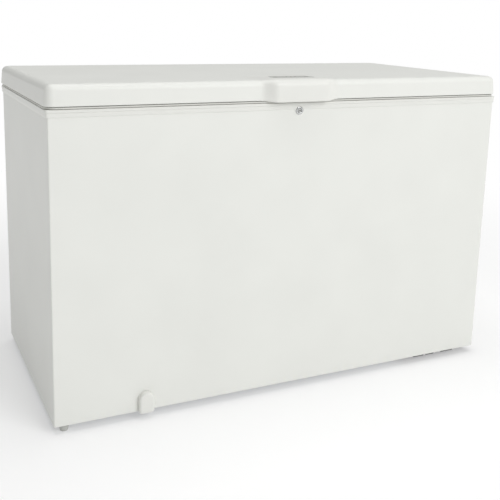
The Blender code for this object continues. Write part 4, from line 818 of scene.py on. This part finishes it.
def wire_basket(node_name, title):
    """The whole basket as one bundle of closed tubes, inside the box of its CAD solid."""
    low_k, high_k, mid_k, half_k = sizes(node_name)
    half_x, half_y = 0.120 - RIM_WIRE, 0.232 - RIM_WIRE
    rim_z, base_z = high_k[2] - RIM_WIRE, low_k[2] + GRID_WIRE
    grids = [hoop(mid_k, half_x, half_y, 0.024, rim_z, RIM_WIRE)]
    for drop in (0.030, 0.075, 0.125, 0.175):
        lean = TAPER * drop / 0.200 + 0.0010
        grids.append(hoop(mid_k, half_x - lean, half_y - lean, 0.022, rim_z - drop, HOOP_WIRE))
    for x in mid_k[0] + np.linspace(-0.100, 0.100, 9):
        corners = [(x, -half_y - 0.0004, rim_z), (x, -half_y + TAPER, base_z), (x, half_y - TAPER, base_z),
                   (x, half_y + 0.0004, rim_z)]
        grids.append((tube_grid(rounded_path(corners, 0.016), GRID_WIRE, (1.0, 0.0, 0.0)), "cap"))
    for y in np.linspace(-0.203, 0.203, 15):
        lift = base_z + 2 * GRID_WIRE
        corners = [(mid_k[0] - half_x, y, rim_z), (mid_k[0] - half_x + TAPER, y, lift),
                   (mid_k[0] + half_x - TAPER, y, lift), (mid_k[0] + half_x, y, rim_z)]
        grids.append((tube_grid(rounded_path(corners, 0.016), GRID_WIRE, (0.0, 1.0, 0.0)), "cap"))
    for side in (-1.0, 1.0):
        ear_y, ear_z = side * (half_k[1] - EAR_WIRE), high_k[2] - EAR_WIRE
        corners = [(mid_k[0] - 0.070, side * (half_y - 0.003), rim_z - 0.0006),
                   (mid_k[0] - 0.066, ear_y, ear_z),
                   (mid_k[0] + 0.066, ear_y, ear_z),
                   (mid_k[0] + 0.070, side * (half_y - 0.003), rim_z - 0.0006)]
        grids.append((tube_grid(rounded_path(corners, 0.010), EAR_WIRE, (0.0, 0.0, 1.0)), "cap"))
    return stands_for(bundle(title, grids, coated_wire, node_name), node_name)


for node_name, title in (("basket_left", "wire_basket_left"), ("basket_right", "wire_basket_right")):
    basket = wire_basket(node_name, title)
    print(title, len(basket.data.polygons), "faces")

# %% [markdown]
# ## Folded and moulded small parts
#
# A pressed or moulded part never has a knife edge. For the brackets, the
# grille, the spacers and the like, a copy of the CAD mesh is merged, its flat
# faces are joined, and its sharp edges are rounded by a real radius.

# %% Rounded copies of CAD pieces
def softened(name, title, width, segments=2, above=35.0, below_z=None):
    """A merged copy of a CAD node with its sharp edges rounded.

    An edge is sharp if its two faces turn by more than `above` degrees.
    """
    source = frame["nodes"][name]
    work = bmesh.new()
    work.from_mesh(source.data)
    bmesh.ops.remove_doubles(work, verts=work.verts, dist=1e-5)
    bmesh.ops.dissolve_limit(work, angle_limit=np.radians(1.0), verts=work.verts, edges=work.edges)
    sharp = [edge for edge in work.edges
             if len(edge.link_faces) == 2 and edge.calc_face_angle(0.0) > np.radians(above)]
    if below_z is not None:
        sharp = [edge for edge in sharp if max(vert.co.z for vert in edge.verts) < below_z]
    if width > 0.0:
        bmesh.ops.bevel(work, geom=sharp, offset=width, segments=segments, profile=0.5, affect="EDGES",
                        clamp_overlap=True)
    mesh = bpy.data.meshes.new(title)
    work.to_mesh(mesh)
    work.free()
    mesh.materials.append(BY_SLOT[SLOT_OF[name]])
    mesh.shade_smooth()
    mesh.set_sharp_from_angle(angle=np.radians(40.0))
    piece = bpy.data.objects.new(title, mesh)
    bpy.context.scene.collection.objects.link(piece)
    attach(piece, source["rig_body"])
    return stands_for(piece, name)


SMALL = {"rear_spacer_left": ("rear_bumper_left", 0.0012), "rear_spacer_right": ("rear_bumper_right", 0.0012),
         "hinge_cover_left": ("hinge_cap_left", 0.0006), "hinge_cover_right": ("hinge_cap_right", 0.0006),
         "hinge_bracket_left": ("hinge_channel_left", 0.0),
         "hinge_bracket_right": ("hinge_channel_right", 0.0),
         "hinge_leaf_left": ("hinge_plate_left", 0.0003), "hinge_leaf_right": ("hinge_plate_right", 0.0003),
         "side_grille": ("air_grille", 0.0008), "lock_cam": ("lock_lever", 0.0005),
         "lock_striker": ("lock_hook", 0.0004), "compressor_terminal_cover": ("terminal_housing", 0.0012),
         "compressor_bracket": ("compressor_cradle", 0.0006), "drain_tube": ("drain_pipe", 0.0),
         "discharge_line": ("discharge_pipe", 0.0), "suction_line": ("suction_pipe", 0.0)}
for node_name, (title, width) in SMALL.items():
    softened(node_name, title, width)
well = softened("inner_liner", "storage_well", 0.004, segments=4, below_z=0.60)
print(len(SMALL), "rounded copies, well", len(well.data.polygons), "faces")

# %% Compressor, mounts, plug and springs
low_c, high_c, mid_c, half_c = sizes("compressor")
radius, tall = half_c[0] / 1.035, high_c[2] - low_c[2]
rise = np.array((0.0, 0.004, 0.03, 0.08, 0.16, 0.28, 0.43, 0.445, 0.46, 0.48, 0.495, 0.51, 0.60, 0.72, 0.82,
                 0.90,
                 0.96, 0.99, 1.0))
girth = np.array((0.55, 0.62, 0.80, 0.90, 0.97, 1.0, 1.0, 1.010, 1.032, 1.032, 1.010, 1.0, 0.995, 0.965,
                  0.90, 0.79,
                  0.62, 0.42, 0.22))
turned("compressor_shell", list(zip(radius * girth, low_c[2] + tall * rise)), mid_c[:2], "Z", black_enamel,
       "cabinet", sides=72, smooth=45.0)
stands_for(bpy.data.objects["compressor_shell"], "compressor")
low_p, high_p, mid_p, half_p = sizes("drain_plug")
flange = half_p[0]
seat_z = low_p[2] + 0.014
plug_profile = [(0.0070, low_p[2]), (0.0078, low_p[2] + 0.0006), (0.0083, seat_z), (flange - 0.0008, seat_z),
                (flange, seat_z + 0.0006), (flange, seat_z + 0.0014), (flange - 0.0016, seat_z + 0.0022),
                (0.0085, seat_z + 0.0036), (0.0066, seat_z + 0.0050), (0.0057, seat_z + 0.0085),
                (0.0062, seat_z + 0.0120), (0.0069, seat_z + 0.0130), (0.0066, high_p[2] - 0.0003),
                (0.0056, high_p[2])]
stopper = turned("drain_stopper", plug_profile, mid_p[:2], "Z", moulded_white, "drain_plug", 48, smooth=50.0)
stands_for(stopper, "drain_plug")
for side in ("left", "right"):
    low_h, high_h, mid_h, half_h = sizes(f"hinge_spring_{side}")
    wire = 0.0011
    angle = np.linspace(0.0, 9 * 2 * np.pi, 9 * 20 + 1)
    reach = half_h[1] - wire
    coil = np.stack((mid_h[0] + reach * np.cos(angle), mid_h[1] + reach * np.sin(angle),
                     np.linspace(low_h[2] + wire, high_h[2] - wire, len(angle))), axis=-1)
    spring = bundle(f"hinge_coil_{side}", [(tube_grid(coil, wire, (0.0, 0.0, 1.0), 8), "cap")], bracket_zinc,
                    "cabinet")
    stands_for(spring, f"hinge_spring_{side}")
print("compressor, plug and springs done")

# %% [markdown]
# Small flanged screws hold the hinge leaves, the hinge caps, the rear panel
# and the grille. A flange disc and a six-sided head are enough at their size.

# %% Screws
def screw(centre, axis, sign, size=0.0030, rise=0.0014):
    """Two closed stacks of rings on an axis: a bevelled flange disc and a bevelled six-sided head."""
    first, second, third = AXES[axis]
    grids = []
    for sides, stack in ((24, ((1.55, -0.05), (1.6, 0.10), (1.5, 0.28), (1.0, 0.34))),
                         (6, ((1.0, 0.20), (1.0, 0.85), (0.86, 1.0)))):
        turn = np.arange(sides) * 2 * np.pi / sides
        share, lift = np.array(stack).T
        grid = np.empty((len(stack), sides, 3))
        grid[..., first] = centre[first] + size * share[:, None] * np.cos(turn)
        grid[..., second] = centre[second] + size * share[:, None] * np.sin(turn)
        grid[..., third] = centre[third] + sign * rise * lift[:, None]
        grids.append((grid, "cap"))
    return grids


rear_y = sizes("rear_panel")[1][1]
panel_screws = []
for x in np.linspace(-0.660, 0.660, 7):
    panel_screws += screw((x, rear_y, 0.040), "Y", 1.0)
for z in (0.22, 0.42, 0.62, 0.80):
    panel_screws += screw((-0.680, rear_y, z), "Y", 1.0) + screw((0.680, rear_y, z), "Y", 1.0)
cap_screws, leaf_screws = [], []
for side in ("left", "right"):
    cap_low, cap_high, cap_mid, _ = sizes(f"hinge_cover_{side}")
    cap_screws += screw((cap_mid[0], cap_high[1], cap_low[2] + 0.010), "Y", 1.0, 0.0024, 0.0013)
    cap_screws += screw((cap_mid[0], cap_high[1], cap_high[2] - 0.010), "Y", 1.0, 0.0024, 0.0013)
    _, leaf_high, leaf_mid, _ = sizes(f"hinge_leaf_{side}")
    leaf_back = lid_high[1] + 0.0023
    for shift in (-0.012, 0.012):
        leaf_screws += screw((leaf_mid[0] + shift, leaf_back, leaf_high[2] - 0.010), "Y", 1.0)
        leaf_screws += screw((leaf_mid[0] + shift, leaf_back, leaf_high[2] - 0.026), "Y", 1.0)
grille_low, grille_high, grille_mid, _ = sizes("side_grille")
grille_screws = []
for y in (grille_low[1] + 0.007, grille_high[1] - 0.007):
    grille_screws += screw((grille_high[0], y, grille_mid[2]), "X", 1.0, 0.0024, 0.0013)
bundle("rear_panel_screws", panel_screws, bracket_zinc, "cabinet", 30.0)
bundle("hinge_cap_screws", cap_screws, bracket_zinc, "cabinet", 30.0)
bundle("grille_screws", grille_screws, bracket_zinc, "cabinet", 30.0)
bundle("hinge_leaf_screws", leaf_screws, bracket_zinc, "lid", 30.0)
print("screws done")

# %% [markdown]
# ## Lock, tray and pads
#
# The key turns a cylinder with a slotted face. Under the compressor space a
# thin steel tray closes the base, and three short pressed feet hang from its
# front edge without touching the floor.

# %% Lock cylinder
cyl_low, cyl_high, cyl_mid, cyl_half = sizes("lock_cylinder")
face_y = cyl_low[1]
barrel = [(cyl_half[0] - 0.0002, cyl_high[1]), (cyl_half[0] - 0.0002, face_y + 0.0010),
          (cyl_half[0] - 0.0005, face_y + 0.0005), (cyl_half[0] - 0.0012, face_y + 0.0001),
          (cyl_half[0] - 0.0016, face_y)]
cylinder = turned("key_cylinder", barrel, (cyl_mid[0], cyl_mid[2]), "Y", satin_nickel, "lock", 48)
keyway = [box_cutter((cyl_mid[0] - 0.0029, face_y - 0.002, cyl_mid[2] - 0.0006),
                     (cyl_mid[0] + 0.0029, face_y + 0.004, cyl_mid[2] + 0.0006)),
          box_cutter((cyl_mid[0] - 0.0013, face_y - 0.002, cyl_mid[2] - 0.0012),
                     (cyl_mid[0] + 0.0006, face_y + 0.0039, cyl_mid[2] + 0.0002))]
stands_for(carve(cylinder, keyway), "lock_cylinder")
print("key cylinder", len(cylinder.data.polygons), "faces")

# %% Compressor tray
_, tray_high, tray_mid, tray_half = sizes("compressor_tray")
plate_low = tray_high[2] - 0.0015
PAD_LOW, PAD_Y, PAD_DEEP = 0.0112, -0.309, 0.008
plate = [(0.0005, plate_low), (0.0, plate_low + 0.0005), (0.0, tray_high[2] - 0.0005), (0.0005, tray_high[2])]
grids = [(tray(plate, tray_half[0], tray_half[1], 0.007, tray_mid[:2]), "cap")]
pad_profile = [(0.0016, PAD_LOW), (0.0005, PAD_LOW + 0.0004), (0.0, PAD_LOW + 0.0016),
               (0.0, plate_low + 0.0004)]
for start, end in ((0.466, 0.509), (0.5165, 0.550), (0.5765, 0.627)):
    grids.append((tray(pad_profile, (end - start) / 2, PAD_DEEP, 0.003, ((start + end) / 2, PAD_Y)), "cap"))
stands_for(bundle("base_tray", grids, black_enamel, "cabinet", 40.0), "compressor_tray")
print("base tray done")

# %% [markdown]
# ## Turned small parts
#
# The rubber grommets under the compressor, the spun copper drier, the hinge
# pins and the cord's gland are all turned shapes. Each profile is given as
# shares of the piece's own radius and length.

# %% Grommets, drier, pins and gland
def spun(name, title, axis, shares, finish, sides=40):
    """A turned piece in the box of a CAD node: each (radius share, length share) pair becomes a circle."""
    low, high, middle, half = sizes(name)
    first, second, third = AXES[axis]
    radius, length = min(half[first], half[second]), high[third] - low[third]
    profile = [(radius * out, low[third] + length * along) for out, along in shares]
    body = frame["nodes"][name]["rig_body"]
    return stands_for(turned(title, profile, (middle[first], middle[second]), axis, finish, body, sides),
                      name)


GROMMET = [(0.82, 0.0), (0.97, 0.04), (1.0, 0.10), (1.0, 0.26), (0.94, 0.32), (0.74, 0.38), (0.72, 0.50),
           (0.74, 0.60),
           (0.94, 0.67), (1.0, 0.73), (1.0, 0.90), (0.97, 0.96), (0.84, 1.0)]
for number in range(1, 5):
    spun(f"compressor_mount_{number}", f"rubber_grommet_{number}", "Z", GROMMET, black_rubber)
drier_half = sizes("filter_drier")[3]
drier_axis = "XYZ"[int(np.argmax(drier_half))]
SPUN_ENDS = [(0.26, 0.0), (0.30, 0.03), (0.42, 0.07), (0.82, 0.12), (0.97, 0.15), (1.0, 0.19), (1.0, 0.81),
             (0.97, 0.85),
             (0.82, 0.88), (0.42, 0.93), (0.30, 0.97), (0.26, 1.0)]
spun("filter_drier", "spun_drier", drier_axis, SPUN_ENDS, copper)
PIN = [(0.80, 0.0), (0.96, 0.008), (1.0, 0.02), (1.0, 0.98), (0.96, 0.992), (0.80, 1.0)]
for side in ("left", "right"):
    spun(f"hinge_pin_{side}", f"hinge_rod_{side}", "X", PIN, bracket_zinc)
gland_low, gland_high, _, _ = sizes("cord_gland")
collar_at = (rear_y - gland_low[1]) / (gland_high[1] - gland_low[1])
left_over = 1.0 - collar_at
NOZZLE = [(0.55, 0.0), (0.60, 0.04), (0.60, collar_at + 0.02 * left_over),
          (0.97, collar_at + 0.03 * left_over),
          (1.0, collar_at + 0.10 * left_over), (1.0, collar_at + 0.26 * left_over),
          (0.95, collar_at + 0.34 * left_over),
          (0.72, collar_at + 0.40 * left_over), (0.62, collar_at + 0.90 * left_over), (0.56, 1.0),
          (0.42, 1.0), (0.38, 1.0 - 0.08 * left_over), (0.36, 1.0 - 0.60 * left_over)]
spun("cord_gland", "cord_grommet", "Y", NOZZLE, black_rubber)
print("small turned parts done, drier along", drier_axis)

# %% [markdown]
# ## Floor and light
#
# The setting is a plain white studio. The floor is a wide pale sheet with a
# painted glow, the world shows white to the camera and lights the scene a little
# more from the right (+X) than from the left, and two large soft lamps give the
# shape: one high in front on the right, which makes the front the brightest face,
# and one over the lid.

# %% Floor
floor_mesh = bpy.data.meshes.new("floor")
REACH = 40.0
floor_mesh.from_pydata([(-REACH, -REACH, 0.0), (REACH, -REACH, 0.0), (REACH, REACH, 0.0),
                        (-REACH, REACH, 0.0)],
                       [], [(0, 1, 2, 3)])
floor = bpy.data.objects.new("floor", floor_mesh)
bpy.context.scene.collection.objects.link(floor)
paper, tree, shader, place = blank("paper_floor_with_painted_glow")
shade = node(tree, "ShaderNodeTexNoise", {"Vector": place, "Scale": per_mm(900.0), "Detail": 1.0})
tint = node(tree, "ShaderNodeMix", {0: shade.outputs["Fac"], 6: linear("FFFFFF"), 7: linear("FCFCFC")},
            data_type="RGBA")
tree.links.new(tint.outputs[2], shader.inputs["Base Color"])
shader.inputs["Roughness"].default_value = 0.9
shader.inputs["Specular IOR Level"].default_value = 0.0
# Painted light: the floor glows. Its emission share is 0.35 within 0.7 m of the middle and grows to all of it
# by 3.2 m. The glow thins the freezer's cast shadow and turns the far floor into an even white backdrop.
away = node(tree, "ShaderNodeVectorMath", {0: place}, operation="LENGTH")
painted_glow_share = node(tree, "ShaderNodeMapRange", {"Value": away.outputs["Value"], "From Min": 0.7, "From Max": 3.2,
                                                       "To Min": 0.35},
            interpolation_type="SMOOTHSTEP")
glow = node(tree, "ShaderNodeEmission", {"Color": linear("FFFFFF"), "Strength": 1.0})
blend = node(tree, "ShaderNodeMixShader", {0: painted_glow_share.outputs["Result"], 1: shader.outputs["BSDF"],
                                           2: glow.outputs["Emission"]})
tree.links.new(blend.outputs["Shader"], tree.nodes["Material Output"].inputs["Surface"])
floor_mesh.materials.append(paper)

# %% Studio light
world = bpy.data.worlds.new("studio")
world.use_nodes = True
sky = world.node_tree
ray = node(sky, "ShaderNodeLightPath")
heading = node(sky, "ShaderNodeTexCoord")
parts = node(sky, "ShaderNodeSeparateXYZ", {"Vector": heading.outputs["Generated"]})
around = node(sky, "ShaderNodeMapRange", {"Value": parts.outputs["X"], "From Min": -1.0, "From Max": 1.0,
                                          "To Min": 0.29, "To Max": 0.53})
level = node(sky, "ShaderNodeMix", {0: ray.outputs["Is Camera Ray"], 2: around.outputs["Result"], 3: 1.0})
sky.nodes["Background"].inputs["Color"].default_value = (1.0, 1.0, 1.0, 1.0)
sky.links.new(level.outputs[0], sky.nodes["Background"].inputs["Strength"])
bpy.context.scene.world = world


def softbox(name, place, target, size, power):
    """A square lamp at a place, turned to face a target."""
    data = bpy.data.lights.new(name, "AREA")
    data.shape = "SQUARE"
    data.size = size
    data.energy = power
    lamp = bpy.data.objects.new(name, data)
    bpy.context.scene.collection.objects.link(lamp)
    lamp.location = place
    lamp.rotation_euler = (Vector(target) - Vector(place)).to_track_quat("-Z", "Y").to_euler()
    return lamp


softbox("key", (2.5, -6.0, 4.5), (0.0, 0.0, 0.5), 4.0, 230.0)
softbox("overhead", (0.0, 0.0, 9.0), (0.0, 0.0, 0.9), 6.0, 275.0)
bpy.context.scene.view_settings.view_transform = "Standard"
print("floor and lights ready")
